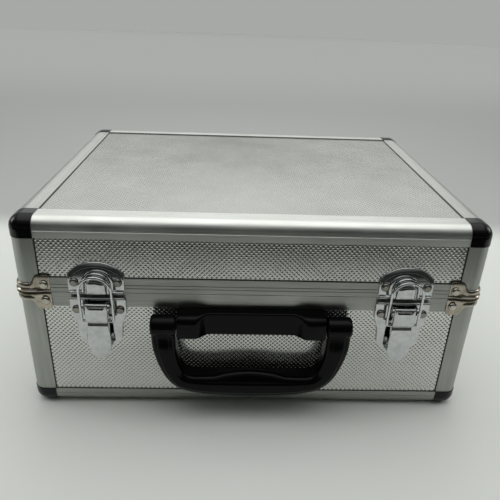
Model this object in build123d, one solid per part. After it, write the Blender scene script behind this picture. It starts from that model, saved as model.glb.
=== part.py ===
"""Aluminium attache case: framed panel box with a hinged lid, draw latches and a swing handle.

Millimetres. X runs left to right, Y from the front (handle side) to the rear (hinge side), Z up.
The origin is the centre of the case's footprint on the surface that its bottom corner caps stand on.
"""
import os
from math import sqrt

from build123d import *

# ---- case body ---------------------------------------------------------------------------
CASE_W, CASE_D, CASE_TOP = 330.0, 260.0, 155.0   # over the aluminium frame
CAP_PROUD = 0.5                                  # corner caps stand this far out of the frame
CASE_BOTTOM = CAP_PROUD
SPLIT_Z, SPLIT_GAP = 99.5, 0.3                   # where lid and base meet, and the line between
SKIN_T = 1.2                                     # wall of the frame extrusions
PANEL_T = 4.0                                    # faced fibreboard panel
PANEL_EDGE = 8.0                                 # panel edges stop this far inside the outer faces
LINING_T = 2.0
ROLL_R = 8.6                                     # rounded corner of the frame extrusions
FACE_FLANGE = 16.6                               # frame flange on the top and bottom faces
LID_SIDE_FLANGE, BASE_SIDE_FLANGE = 14.5, 13.2   # frame flange on the upright faces
POST_FLANGE = 16.8                               # both flanges of the upright corner extrusions
LID_CAP_H, BASE_CAP_H = 14.6, 13.4               # height of the black corner caps
CAP_R = 9.2
LEAST_CORNER_R = 0.4                             # inner corners of the frame are no sharper than this
EDGE_LINE_HALF_W, EDGE_LINE_DEPTH = 0.3, 0.3     # drawn line along each face of an edge extrusion
EDGE_LINE_OFF, FLANGE_LINE_IN = 0.5, 2.6         # the lines' distance from the roll and from the flange's end

# ---- rim extrusions ----------------------------------------------------------------------
RIM_H = 11.2
RIM_WEB = 2.5
RIM_INNER_H = 8.0
TONGUE_IN, TONGUE_OUT, TONGUE_H = 4.0, 2.4, 1.4
GROOVE_SLACK, GROOVE_H = 0.2, 1.7
RIM_BEAD_LINES = (105.4, 102.9)                  # heights of the two drawn lines on the lid rim
RIM_LINE_W, RIM_LINE_DEPTH = 0.45, 0.4
RIM_STEP_Z, RIM_STEP_DEPTH = 94.7, 0.4           # the base rim steps in below this height

# ---- pads ----------------------------------------------------------------------------------
FOAM_CLEAR = 0.4
LID_FOAM_T = 22.0
FLOOR_PAD_T = 5.0

# ---- corner brackets ---------------------------------------------------------------------
BRACKET_T = 0.9
BRACKET_REACH = 24.0                             # length of each leg from the outer corner
BRACKET_PAD_W, BRACKET_SLOPE = 9.6, 4.0
BRACKET_BAND_H, BRACKET_PAD_H = 6.7, 13.4
BRACKET_BEAD_R = 1.0
BRACKET_BEAD_TRIM = 2.0                          # the bead stops this far before the frame's flange does
BRACKET_EDGE_GAP = 0.7                           # from the split line to the bracket's edge
BRACKET_CHAMFER = 2.0
BRACKET_RIVET_INSET = 20.0                       # rivet axis from the outer corner
BRACKET_RIVET_RISE = 6.2                         # rivet axis from the split line

# ---- rivets ------------------------------------------------------------------------------
RIVET_HEAD_R, RIVET_HEAD_H, RIVET_R = 3.2, 1.7, 1.6
RIVET_RIM_H = 0.25                               # upright rim under the dome
RIVET_SHORT = 0.2                                # a shank ends this far inside the panel's inner face

# ---- draw latches ------------------------------------------------------------------------
LATCH_X = 109.0
LATCH_T = 1.2
CATCH_HALF_W, CATCH_BOTTOM_Z, CATCH_SIDE_Z, CATCH_APEX_Z = 19.5, 101.4, 114.4, 122.4
CATCH_RIDGE_T, CATCH_RIDGE_PROUD = 1.3, 4.2
LIP_H, LIP_PROUD, LIP_EDGE_R = 1.1, 0.9, 0.45    # turned edge of the catch and of the base plate
CATCH_RIVET = (15.0, 108.4)
HOOK_SEAT_R, HOOK_SEAT_PROUD, HOOK_Z = 9.9, 3.0, 106.6
HOOK_NOSE_R, HOOK_NOSE_PROUD, HOOK_BOTTOM_Z = 7.3, 5.3, 100.3
HOOK_SEAT_EDGE_R, HOOK_NOSE_EDGE_R = 1.2, 1.8
PLATE_TOP_Z, PLATE_BOTTOM_Z = 96.0, 55.2
PLATE_OUTLINE = ((19.8, 96.0), (19.8, 83.5), (16.4, 73.5), (15.2, 60.6), (8.0, 55.2))
PLATE_RIVET = (15.2, 86.5)
PLATE_SLOT = (7.3, 10.3, 59.0, 66.6)             # near x, far x, low z, high z
PIVOT_Z, PIVOT_PROUD, PIVOT_R, PIVOT_CLEAR = 91.6, 6.4, 1.2, 0.06
PIVOT_HEAD_R, PIVOT_HEAD_T = 1.9, 0.45
EAR_IN, EAR_T, EAR_R = 8.2, 0.9, 2.8
LEVER_HALF_W, LEVER_WALL, LEVER_PROUD = 7.9, 1.0, 8.6
LEVER_TOP_Z, LEVER_STEP_Z, LEVER_WALL_Z = 94.6, 77.4, 72.0
LEVER_BACK_PROUD = 3.4                           # back edge of the lever's side walls
LEVER_STEP = 1.2                                 # the tab lies this much lower than the channel
TAB_HALF_W, TAB_NECK_HALF_W, TAB_TIP_Z = 8.2, 6.9, 48.6
MOUTH_HALF_W, MOUTH_LOW_Z, MOUTH_HIGH_Z = 6.4, 89.6, 93.0
MOUTH_TAPER = 1.6
BAIL_R = 1.05
BAIL_HALF_W, BAIL_BEND_R = 11.2, 1.9             # wire centreline from the latch's centre plane
BAIL_END_GAP = 0.2                               # from a wire end to the lever wall's inner face
BAIL_PIVOT_Z, BAIL_PIVOT_PROUD = 79.2, 5.2
BAIL_TOP_Z, BAIL_TOP_PROUD = 114.9, 6.9

# ---- handle ------------------------------------------------------------------------------
HANDLE_AXIS_Z, HANDLE_AXIS_PROUD = 79.0, 8.6
MOULDING_HALF_W, MOULDING_LOW_Z, MOULDING_HIGH_Z = 53.0, 69.6, 87.9   # the handle's bracket
LOBE_IN, LOBE_SHOULDER = 40.0, 30.0              # where the end lobes begin and the middle ends
LOBE_PROUD, MIDDLE_PROUD = 14.2, 6.6
MOULDING_EDGE_R = 2.4
KNUCKLE_IN, KNUCKLE_OUT, KNUCKLE_R = 53.8, 71.6, 7.9
HANDLE_PIN_R, HANDLE_PIN_CLEAR, HANDLE_PIN_IN, HANDLE_PIN_OUT = 3.0, 0.05, 44.0, 66.0
PIN_END_GAP = 0.3                                # past the pin's end, in a knuckle's blind bore
GRIP_BACK, GRIP_FRONT = 1.6, 18.2                # the grip's faces, proud of the frame
GRIP_OUTER = ((71.6, 79.0), (70.6, 66.0), (67.0, 50.0), (61.4, 37.0))
GRIP_BOTTOM_CORNER, GRIP_BOTTOM_Z = (50.0, 24.8), 20.6
GRIP_INNER = ((53.8, 79.0), (53.2, 61.0), (47.6, 39.4))
GRIP_INNER_R, GRIP_EDGE_R = 4.0, 3.0
SCREW_R, SCREW_HEAD_R, SCREW_HEAD_H, SCREW_TIP_PROUD = 1.5, 3.2, 1.2, 8.0
SCREW_PLACES = ((47.0, 74.0), (47.0, 84.0), (25.0, 78.8))
SHORT_SCREW_TIP_PROUD = 4.0

# ---- hinges ------------------------------------------------------------------------------
HINGE_X, HINGE_PROUD = 95.0, 3.2
HINGE_HALF_W, HINGE_LEAF_H, HINGE_LEAF_T = 20.0, 19.0, 1.2
HINGE_BARREL_R, HINGE_PIN_R, HINGE_PIN_CLEAR = 2.9, 1.3, 0.05
HINGE_PIN_HEAD_R, HINGE_PIN_HEAD_T = 2.2, 0.8
HINGE_LEAF_GAP = 0.4                             # from a barrel to the other leaf's edge
HINGE_MID_HALF, HINGE_SIDE_GAP = 6.5, 0.3        # centre knuckle, and the gap beside it
HINGE_RIVET = (13.0, 7.5)                        # off the hinge's middle, off the split line
CLAW_LENGTH, CLAW_T = 7.2, 1.6                   # the tail that stops the lid

FRONT_Y, REAR_Y = -CASE_D / 2, CASE_D / 2
BODY_Y = (GRIP_FRONT - HINGE_PROUD - CLAW_LENGTH) / 2   # the body's middle, from the envelope's
LEFT_X, RIGHT_X = -CASE_W / 2, CASE_W / 2
LID_LOW, BASE_HIGH = SPLIT_Z + SPLIT_GAP / 2, SPLIT_Z - SPLIT_GAP / 2
BOARD_IN = SKIN_T + PANEL_T                      # inner face of a panel
CAVITY_IN = BOARD_IN + LINING_T                  # inner face of the lining
RIM_IN = CAVITY_IN + 1.0                         # inner face of the rim extrusions


def block(first, second):
    """A box between two opposite corners, given in any order."""
    size = [abs(b - a) for a, b in zip(first, second)]
    middle = [(a + b) / 2 for a, b in zip(first, second)]
    return Pos(*middle) * Box(*size)


def prism(outline, plane, depth):
    """A closed polygon on a plane, pushed along the plane's normal."""
    return extrude(plane * make_face(Polyline(*outline, close=True)), amount=depth)


def front_plane(x, proud):
    """Local x runs along +X from x and local y is height; its normal points out of the front."""
    return Plane(origin=(x, FRONT_Y - proud, 0), x_dir=(1, 0, 0), z_dir=(0, -1, 0))


def arc_middle(radius):
    """How far the middle of a quarter round lies in from each of the two faces it joins."""
    return radius * (1 - 1 / sqrt(2))


def rounded_slab(inset, z_a, z_b, radius=ROLL_R):
    """The case's plan outline, inset from the outer faces, between two heights."""
    corner = max(radius - inset, LEAST_CORNER_R)
    plan = RectangleRounded(CASE_W - 2 * inset, CASE_D - 2 * inset, corner)
    return Pos(0, 0, min(z_a, z_b)) * extrude(plan, amount=abs(z_b - z_a))


def square_slab(inset, z_a, z_b):
    """As rounded_slab, with square corners."""
    return block((LEFT_X + inset, FRONT_Y + inset, z_a), (RIGHT_X - inset, REAR_Y - inset, z_b))


def drilled(part, pegs):
    """The part with a hole for each peg that passes through it."""
    box = part.bounding_box()
    for peg in pegs:
        other = peg.bounding_box()
        apart = (
            box.min.X > other.max.X or other.min.X > box.max.X
            or box.min.Y > other.max.Y or other.min.Y > box.max.Y
            or box.min.Z > other.max.Z or other.min.Z > box.max.Z
        )
        if not apart:
            part = part - peg
    return part


def save(name, *solids):
    """Writes one node as a group of its solids, set back so that the envelope is centred."""
    loose = [Pos(0, BODY_Y, 0) * solid for shape in solids for solid in shape.solids()]
    shape = loose[0] if len(loose) == 1 else Compound(children=loose)
    export_step(shape, os.path.join("parts", name + ".step"))


# ---- fasteners ---------------------------------------------------------------------------
def rivet(place, outward, grip):
    """A domed rivet whose head stands on place; grip is the shank's length behind the head."""
    head = Pos(0, 0, RIVET_HEAD_H / 2) * Cylinder(RIVET_HEAD_R, RIVET_HEAD_H)
    rim = head.edges().group_by(Axis.Z)[-1]
    head = fillet(rim, RIVET_HEAD_H - RIVET_RIM_H)
    shank = Pos(0, 0, -grip / 2) * Cylinder(RIVET_R, grip)
    return Plane(origin=place, z_dir=outward) * (head + shank)


def bracket_rivets(height):
    """Eight rivets, two for each corner bracket, at one height."""
    found = []
    grip = BRACKET_T + BOARD_IN - RIVET_SHORT
    for side_x in (-1, 1):
        for side_y in (-1, 1):
            across = side_x * (CASE_W / 2 - BRACKET_RIVET_INSET)
            along = side_y * (CASE_D / 2 - BRACKET_RIVET_INSET)
            face_y = side_y * (CASE_D / 2 + BRACKET_T)
            face_x = side_x * (CASE_W / 2 + BRACKET_T)
            found.append(rivet((across, face_y, height), (0, side_y, 0), grip))
            found.append(rivet((face_x, along, height), (side_x, 0, 0), grip))
    return found


def pair_rivets(centres, offset, heights, face_y, outward, grip):
    """Rivets at plus and minus offset from each centre."""
    return [
        rivet((centre + side * offset, face_y, height), (0, outward, 0), grip)
        for centre in centres
        for side in (-1, 1)
        for height in heights
    ]


# ---- frame extrusions --------------------------------------------------------------------
def edge_section(face_flange, side_flange):
    """Section of an edge extrusion: local x runs in from the upright face, y in from the flat face."""
    line_at, face_line = ROLL_R + EDGE_LINE_OFF, face_flange - FLANGE_LINE_IN
    half_line, depth = EDGE_LINE_HALF_W, EDGE_LINE_DEPTH
    straight = Polyline(
        (0, ROLL_R),
        (0, line_at - half_line),
        (depth, line_at),
        (0, line_at + half_line),
        (0, side_flange),
        (SKIN_T, side_flange),
        (SKIN_T, PANEL_EDGE),
        (BOARD_IN, PANEL_EDGE),
        (BOARD_IN, BOARD_IN),
        (PANEL_EDGE, BOARD_IN),
        (PANEL_EDGE, SKIN_T),
        (face_flange, SKIN_T),
        (face_flange, 0),
        (face_line + half_line, 0),
        (face_line, depth),
        (face_line - half_line, 0),
        (ROLL_R, 0),
    )
    on_arc = arc_middle(ROLL_R)
    roll = ThreePointArc((ROLL_R, 0), (on_arc, on_arc), (0, ROLL_R))
    return make_face(straight + roll)


def post_section():
    """Section of an upright corner extrusion, the same way in from both faces."""
    straight = Polyline(
        (0, ROLL_R),
        (0, POST_FLANGE),
        (SKIN_T, POST_FLANGE),
        (SKIN_T, PANEL_EDGE),
        (BOARD_IN, PANEL_EDGE),
        (BOARD_IN, BOARD_IN),
        (PANEL_EDGE, BOARD_IN),
        (PANEL_EDGE, SKIN_T),
        (POST_FLANGE, SKIN_T),
        (POST_FLANGE, 0),
        (ROLL_R, 0),
    )
    on_arc = arc_middle(ROLL_R)
    roll = ThreePointArc((ROLL_R, 0), (on_arc, on_arc), (0, ROLL_R))
    return make_face(straight + roll)


def run(section, corner, inward_a, inward_b, length):
    """A section extruded both ways from a corner point, with its x and y along the two directions."""
    normal = Vector(*inward_a).cross(Vector(*inward_b))
    plane = Plane(origin=corner, x_dir=inward_a, z_dir=normal)
    return extrude(plane * section, amount=length / 2, both=True)


def horizontal_edges(face_z, into, side_flange):
    """Front, rear, left and right edge extrusions of the lid's top or the base's bottom."""
    section = edge_section(FACE_FLANGE, side_flange)
    long_run = CASE_W - 2 * POST_FLANGE
    short_run = CASE_D - 2 * POST_FLANGE
    up = (0, 0, into)
    return {
        "front": run(section, (0, FRONT_Y, face_z), (0, 1, 0), up, long_run),
        "rear": run(section, (0, REAR_Y, face_z), (0, -1, 0), up, long_run),
        "left": run(section, (LEFT_X, 0, face_z), (1, 0, 0), up, short_run),
        "right": run(section, (RIGHT_X, 0, face_z), (-1, 0, 0), up, short_run),
    }


def corner_posts(low, high):
    """Four upright extrusions between two heights."""
    section = post_section()
    middle = (low + high) / 2
    return [
        run(section, (side_x * CASE_W / 2, side_y * CASE_D / 2, middle),
            (-side_x, 0, 0), (0, -side_y, 0), high - low)
        for side_x in (-1, 1)
        for side_y in (-1, 1)
    ]


def corner_caps(face_z, into, height, panels):
    """Four moulded caps that close the frame's corners, slotted for the panels."""
    reach = POST_FLANGE + CAP_PROUD
    outer_z = face_z - into * CAP_PROUD
    inner_z = face_z + into * height
    cavity = block(
        (LEFT_X + BOARD_IN, FRONT_Y + BOARD_IN, min(face_z + into * BOARD_IN, inner_z + into)),
        (RIGHT_X - BOARD_IN, REAR_Y - BOARD_IN, max(face_z + into * BOARD_IN, inner_z + into)),
    )
    caps = []
    for side_x in (-1, 1):
        for side_y in (-1, 1):
            outer = (side_x * (CASE_W / 2 + CAP_PROUD), side_y * (CASE_D / 2 + CAP_PROUD), outer_z)
            inner = (outer[0] - side_x * reach, outer[1] - side_y * reach, inner_z)
            body = block(outer, inner)
            corner = Vector(*outer)
            sharp = [e for e in body.edges()
                     if min((e.position_at(t) - corner).length for t in (0, 1)) < 0.01]
            body = fillet(sharp, CAP_R)
            body = body - cavity
            for panel in panels:
                body = body - panel
            caps.append(body)
    return caps


# ---- panels ------------------------------------------------------------------------------
def wall_panels(low, high):
    """Front, rear, left and right panels between two heights."""
    span_x, span_y = CASE_W / 2 - PANEL_EDGE, CASE_D / 2 - PANEL_EDGE
    return {
        "front": block((-span_x, FRONT_Y + SKIN_T, low), (span_x, FRONT_Y + BOARD_IN, high)),
        "rear": block((-span_x, REAR_Y - BOARD_IN, low), (span_x, REAR_Y - SKIN_T, high)),
        "left": block((LEFT_X + SKIN_T, -span_y, low), (LEFT_X + BOARD_IN, span_y, high)),
        "right": block((RIGHT_X - BOARD_IN, -span_y, low), (RIGHT_X - SKIN_T, span_y, high)),
    }


def face_panel(face_z, into):
    """The lid's top panel or the base's bottom panel."""
    span_x, span_y = CASE_W / 2 - PANEL_EDGE, CASE_D / 2 - PANEL_EDGE
    near, far = sorted((face_z + into * SKIN_T, face_z + into * BOARD_IN))
    return block((-span_x, -span_y, near), (span_x, span_y, far))


# ---- rims --------------------------------------------------------------------------------
def corner_columns(low, high):
    """The four upright corner zones that the posts fill."""
    zones = []
    for side_x in (-1, 1):
        for side_y in (-1, 1):
            far = (side_x * (CASE_W / 2 + 1), side_y * (CASE_D / 2 + 1))
            near = (side_x * (CASE_W / 2 - POST_FLANGE), side_y * (CASE_D / 2 - POST_FLANGE))
            zones.append(block((*far, low), (*near, high)))
    return zones


def rim_ring(mating_z, away):
    """The whole rim of a case half before it is mitred. away is +1 for the lid and -1 for the base."""
    web_z = mating_z + away * RIM_WEB
    flange_z = mating_z + away * RIM_H
    inner_z = mating_z + away * RIM_INNER_H
    web = rounded_slab(0, mating_z, web_z) - square_slab(RIM_IN, mating_z, web_z)
    skin = rounded_slab(0, web_z, flange_z) - rounded_slab(SKIN_T, web_z, flange_z)
    for zone in corner_columns(web_z, flange_z):
        skin = skin - zone
    inside = square_slab(CAVITY_IN, web_z, inner_z) - square_slab(RIM_IN, web_z, inner_z)
    return web + skin + inside


def shallow_ring(low, high, depth):
    """A thin band round the outside, for cutting lines and steps in a rim."""
    return square_slab(-1, low, high) - rounded_slab(depth, low, high)


def flipped(points, flip_x, flip_y=1):
    """Plane points with their coordinates' signs changed where the factor is -1."""
    return [(flip_x * a, flip_y * b) for a, b in points]


def mitred(ring, low, high):
    """The ring cut along its corner diagonals into front, rear, left and right."""
    x, y = CASE_W / 2 + 2, CASE_D / 2 + 2
    ridge = x - y
    wedge_front = [(-x, -y), (x, -y), (ridge, 0), (-ridge, 0)]
    wedge_left = [(-x, -y), (-ridge, 0), (-x, y)]
    plane = Plane.XY.offset(low - 1)
    depth = high - low + 2
    return {
        "front": ring & prism(wedge_front, plane, depth),
        "rear": ring & prism(flipped(wedge_front, 1, -1), plane, depth),
        "left": ring & prism(wedge_left, plane, depth),
        "right": ring & prism(flipped(wedge_left, -1), plane, depth),
    }


def lid_rim():
    """The lid's rim, grooved for the base's tongue, with two drawn lines round its outside."""
    ring = rim_ring(LID_LOW, 1)
    groove_top = LID_LOW + GROOVE_H
    groove = rounded_slab(TONGUE_OUT - GROOVE_SLACK, LID_LOW, groove_top)
    groove = groove - rounded_slab(TONGUE_IN + GROOVE_SLACK, LID_LOW, groove_top)
    ring = ring - groove
    for height in RIM_BEAD_LINES:
        ring = ring - shallow_ring(height, height + RIM_LINE_W, RIM_LINE_DEPTH)
    return mitred(ring, LID_LOW, LID_LOW + RIM_H)


def base_rim():
    """The base's rim with its tongue, and a shallow step round its outside."""
    ring = rim_ring(BASE_HIGH, -1)
    tongue_top = BASE_HIGH + TONGUE_H
    tongue = rounded_slab(TONGUE_OUT, BASE_HIGH, tongue_top)
    tongue = tongue - rounded_slab(TONGUE_IN, BASE_HIGH, tongue_top)
    ring = ring + tongue - shallow_ring(BASE_HIGH - RIM_H, RIM_STEP_Z, RIM_STEP_DEPTH)
    return mitred(ring, BASE_HIGH - RIM_H, tongue_top)


# ---- corner brackets ---------------------------------------------------------------------
def corner_bracket(side_x, side_y, away):
    """A pressed bracket round one corner: a low band with a taller riveted pad on each leg."""
    edge_z = SPLIT_Z + away * BRACKET_EDGE_GAP
    band_z = SPLIT_Z + away * BRACKET_BAND_H
    tall_z = SPLIT_Z + away * BRACKET_PAD_H
    shell = rounded_slab(-BRACKET_T, edge_z, tall_z) - rounded_slab(0, edge_z, tall_z)
    corner_x, corner_y = side_x * CASE_W / 2, side_y * CASE_D / 2
    pad_in, past_corner = BRACKET_REACH - BRACKET_PAD_W, -3.0
    profile = make_face(Polyline(
        (past_corner, edge_z),
        (BRACKET_REACH, edge_z),
        (BRACKET_REACH, tall_z - away * BRACKET_CHAMFER),
        (BRACKET_REACH - BRACKET_CHAMFER, tall_z),
        (pad_in, tall_z),
        (pad_in - BRACKET_SLOPE, band_z),
        (past_corner, band_z),
        close=True,
    ))
    near = POST_FLANGE / 2
    legs = []
    for toward, reach_x, reach_y in (
        ((-side_x, 0, 0), BRACKET_REACH, near),
        ((0, -side_y, 0), near, BRACKET_REACH),
    ):
        normal = Vector(*toward).cross(Vector(0, 0, 1))
        leg = Plane(origin=(corner_x, corner_y, 0), x_dir=toward, z_dir=normal)
        zone = block((corner_x - side_x * past_corner, corner_y - side_y * past_corner, edge_z),
                     (corner_x - side_x * reach_x, corner_y - side_y * reach_y, tall_z))
        legs.append(shell & extrude(leg * profile, amount=60.0, both=True) & zone)
    bead_z = edge_z + away * BRACKET_BEAD_R
    bead = corner_bead(side_x, side_y, bead_z) - rounded_slab(0, bead_z - 3, bead_z + 3)
    return legs[0] + legs[1] + bead


def corner_bead(side_x, side_y, height):
    """A round bead that follows the outside of one corner."""
    out = BRACKET_T * 0.6
    half_x, half_y = CASE_W / 2 + out, CASE_D / 2 + out
    turn = ROLL_R + out
    reach = POST_FLANGE - BRACKET_BEAD_TRIM
    on_arc = arc_middle(turn)
    start = (side_x * (half_x - reach), side_y * half_y, height)
    turn_in = (side_x * (half_x - turn), side_y * half_y, height)
    middle = (side_x * (half_x - on_arc), side_y * (half_y - on_arc), height)
    turn_out = (side_x * half_x, side_y * (half_y - turn), height)
    end = (side_x * half_x, side_y * (half_y - reach), height)
    path = Line(start, turn_in) + ThreePointArc(turn_in, middle, turn_out) + Line(turn_out, end)
    section = Plane(origin=start, z_dir=(side_x, 0, 0)) * Circle(BRACKET_BEAD_R)
    return sweep(section, path)


def corner_brackets(away):
    """The four brackets of one rim. away is +1 for the lid and -1 for the base."""
    return [corner_bracket(side_x, side_y, away) for side_x in (-1, 1) for side_y in (-1, 1)]


# ---- soft interior -----------------------------------------------------------------------
def lining(floor_z, into, rim_z):
    """A five-sided lining: floor_z is the panel's inner face, and rim_z the rim's web."""
    return square_slab(BOARD_IN, floor_z, rim_z) - square_slab(CAVITY_IN, floor_z + into * LINING_T, rim_z)


# ---- draw latches ------------------------------------------------------------------------
def mirrored_outline(half):
    """A closed outline from its right half, listed from the top down."""
    return list(half) + [(-x, z) for x, z in reversed(half)]


def catch_face():
    """The catch plate's outline, with an arched top edge."""
    straight = Polyline(
        (-CATCH_HALF_W, CATCH_SIDE_Z),
        (-CATCH_HALF_W, CATCH_BOTTOM_Z),
        (CATCH_HALF_W, CATCH_BOTTOM_Z),
        (CATCH_HALF_W, CATCH_SIDE_Z),
    )
    arch = ThreePointArc((CATCH_HALF_W, CATCH_SIDE_Z), (0, CATCH_APEX_Z), (-CATCH_HALF_W, CATCH_SIDE_Z))
    return make_face(straight + arch)


def half_disc(radius, low_z):
    """A round-topped outline round the hook's centre, with straight sides down to low_z."""
    straight = Polyline((-radius, HOOK_Z), (-radius, low_z), (radius, low_z), (radius, HOOK_Z))
    top = ThreePointArc((radius, HOOK_Z), (0, HOOK_Z + radius), (-radius, HOOK_Z))
    return make_face(straight + top)


def turned_lip(x, half_w, low_z):
    """The round turned edge along a latch plate."""
    lip = block((x - half_w, FRONT_Y - LATCH_T - LIP_PROUD, low_z),
                (x + half_w, FRONT_Y - LATCH_T, low_z + LIP_H))
    return fillet(lip.edges().filter_by(Axis.X).group_by(Axis.Y)[0], LIP_EDGE_R)


def hook_step(x, radius, low_z, proud, edge_r):
    """One round-topped step of the hook, with the edge of its face rounded above its foot."""
    step = extrude(front_plane(x, 0) * half_disc(radius, low_z), amount=proud)
    face_edges = step.faces().sort_by(Axis.Y)[0].edges()
    return fillet(face_edges.filter_by(lambda edge: edge.center().Z > low_z + 0.5), edge_r)


def catch_ridge(x):
    """The raised rib along the catch's arched edge."""
    rise = CATCH_APEX_Z - CATCH_SIDE_Z
    arch_r = (CATCH_HALF_W ** 2 + rise ** 2) / (2 * rise)
    centre = Pos(0, CATCH_APEX_Z - arch_r)
    ring = centre * Circle(arch_r) - centre * Circle(arch_r - CATCH_RIDGE_T)
    top_half = Pos(0, CATCH_APEX_Z) * Rectangle(2 * CATCH_HALF_W, 2 * rise)
    return extrude(front_plane(x, 0) * (ring & top_half), amount=CATCH_RIDGE_PROUD)


def latch_catch(x, rivets):
    """The catch on the lid: a plate with an arched ridge and a round-topped hook in two steps."""
    plate = extrude(front_plane(x, 0) * catch_face(), amount=LATCH_T)
    backing = extrude(front_plane(x, -SKIN_T) * catch_face(), amount=SKIN_T)
    plate = plate + (backing - square_slab(-1, SPLIT_Z, LID_LOW + RIM_H))
    seat = hook_step(x, HOOK_SEAT_R, CATCH_BOTTOM_Z, HOOK_SEAT_PROUD, HOOK_SEAT_EDGE_R)
    nose = hook_step(x, HOOK_NOSE_R, HOOK_BOTTOM_Z, HOOK_NOSE_PROUD, HOOK_NOSE_EDGE_R)
    lip = turned_lip(x, CATCH_HALF_W, CATCH_BOTTOM_Z)
    return drilled(plate + catch_ridge(x) + seat + nose + lip, rivets)


def pivot_ear(ear_x):
    """An ear that stands out of the base plate between two x positions, round at its tip."""
    foot = block((ear_x[0], FRONT_Y - PIVOT_PROUD, PIVOT_Z - EAR_R),
                 (ear_x[1], FRONT_Y - LATCH_T, PIVOT_Z + EAR_R))
    tip = Pos((ear_x[0] + ear_x[1]) / 2, FRONT_Y - PIVOT_PROUD, PIVOT_Z) * Rot(0, 90, 0)
    return foot + tip * Cylinder(EAR_R, EAR_T)


def latch_plate(x, rivets, pin):
    """The base plate on the case: a tapered plate with a turned top edge, two slots and two pivot ears."""
    outline = mirrored_outline(PLATE_OUTLINE)
    plate = prism(outline, front_plane(x, 0), LATCH_T)
    backing = prism(outline, front_plane(x, -SKIN_T), SKIN_T)
    plate = plate + (backing - square_slab(-1, BASE_HIGH - RIM_H, SPLIT_Z))
    plate = plate + turned_lip(x, PLATE_OUTLINE[0][0], PLATE_TOP_Z - LIP_H)
    near, far, low, high = PLATE_SLOT
    for side in (-1, 1):
        plate = plate - block((x + side * near, FRONT_Y - 3, low), (x + side * far, FRONT_Y + 3, high))
        plate = plate + pivot_ear(sorted((x + side * EAR_IN, x + side * (EAR_IN + EAR_T))))
    return drilled(plate, rivets + [pin])


def pivot_pin(x):
    """The rivet that the lever turns on, with a low head outside each ear."""
    length = 2 * (EAR_IN + EAR_T)
    pin = Cylinder(PIVOT_R, length)
    for side in (-1, 1):
        pin = pin + Pos(0, 0, side * (length + PIVOT_HEAD_T) / 2) * Cylinder(PIVOT_HEAD_R, PIVOT_HEAD_T)
    return Pos(x, FRONT_Y - PIVOT_PROUD, PIVOT_Z) * Rot(0, 90, 0) * pin


def prism_between(profile, ends):
    """A side profile, given as (proud, z) points, between two x positions."""
    plane = Plane(origin=(ends[0], FRONT_Y, 0), x_dir=(0, -1, 0), z_dir=(-1, 0, 0))
    face = plane * make_face(Polyline(*profile, close=True))
    return extrude(face, amount=-(ends[1] - ends[0]))


def lever_wall(x, side):
    """One side wall of the lever, which tapers to the tab below the step."""
    profile = [
        (LEVER_PROUD, LEVER_TOP_Z),
        (LEVER_BACK_PROUD, LEVER_TOP_Z - 1.0),
        (LEVER_BACK_PROUD - 0.6, LEVER_STEP_Z),
        (LEVER_BACK_PROUD, LEVER_WALL_Z),
        (LEVER_PROUD - LEVER_STEP, LEVER_WALL_Z),
        (LEVER_PROUD, LEVER_STEP_Z),
    ]
    return prism_between(profile, sorted((x + side * LEVER_HALF_W, x + side * (LEVER_HALF_W - LEVER_WALL))))


def lever_tab(x):
    """The finger tab: narrow at the step, wider below it, with a round tip."""
    right = [
        (TAB_NECK_HALF_W, LEVER_STEP_Z + 0.6),
        (TAB_NECK_HALF_W, LEVER_STEP_Z - 2.0),
        (TAB_HALF_W, LEVER_STEP_Z - 10.0),
        (TAB_HALF_W, TAB_TIP_Z + TAB_HALF_W + 1.5),
    ]
    left = flipped(right, -1)
    tip = ThreePointArc(right[-1], (0, TAB_TIP_Z), left[-1])
    face = make_face(Polyline(*right) + Polyline(*left) + Line(right[0], left[0]) + tip)
    return extrude(front_plane(x, LEVER_PROUD - LEVER_STEP - LEVER_WALL) * face, amount=LEVER_WALL + 0.2)


def lever_mouth(x):
    """The tapered opening near the lever's top edge."""
    top, low = MOUTH_HALF_W, MOUTH_HALF_W - MOUTH_TAPER
    outline = [(top, MOUTH_HIGH_Z), (low, MOUTH_LOW_Z), (-low, MOUTH_LOW_Z), (-top, MOUTH_HIGH_Z)]
    return prism(outline, front_plane(x, LEVER_PROUD - LEVER_WALL - 0.5), 3.0)


def cross_bore(x, proud, height, radius):
    """A long cylinder along X, for boring both of the lever's walls."""
    return Pos(x, FRONT_Y - proud, height) * Rot(0, 90, 0) * Cylinder(radius, 30)


def latch_lever(x):
    """The over-centre lever: a channel on the pivot that steps down into a rounded finger tab."""
    channel = block((x - LEVER_HALF_W, FRONT_Y - LEVER_PROUD, LEVER_STEP_Z),
                    (x + LEVER_HALF_W, FRONT_Y - LEVER_PROUD + LEVER_WALL, LEVER_TOP_Z))
    tab_back = LEVER_PROUD - LEVER_STEP - LEVER_WALL
    joggle = block((x - TAB_NECK_HALF_W, FRONT_Y - LEVER_PROUD + 0.2, LEVER_STEP_Z - 0.2),
                   (x + TAB_NECK_HALF_W, FRONT_Y - tab_back, LEVER_STEP_Z + 0.9))
    lever = channel + lever_wall(x, -1) + lever_wall(x, 1) + lever_tab(x) + joggle - lever_mouth(x)
    lever = lever - cross_bore(x, PIVOT_PROUD, PIVOT_Z, PIVOT_R + PIVOT_CLEAR)
    return lever - cross_bore(x, BAIL_PIVOT_PROUD, BAIL_PIVOT_Z, BAIL_R + PIVOT_CLEAR)


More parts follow.
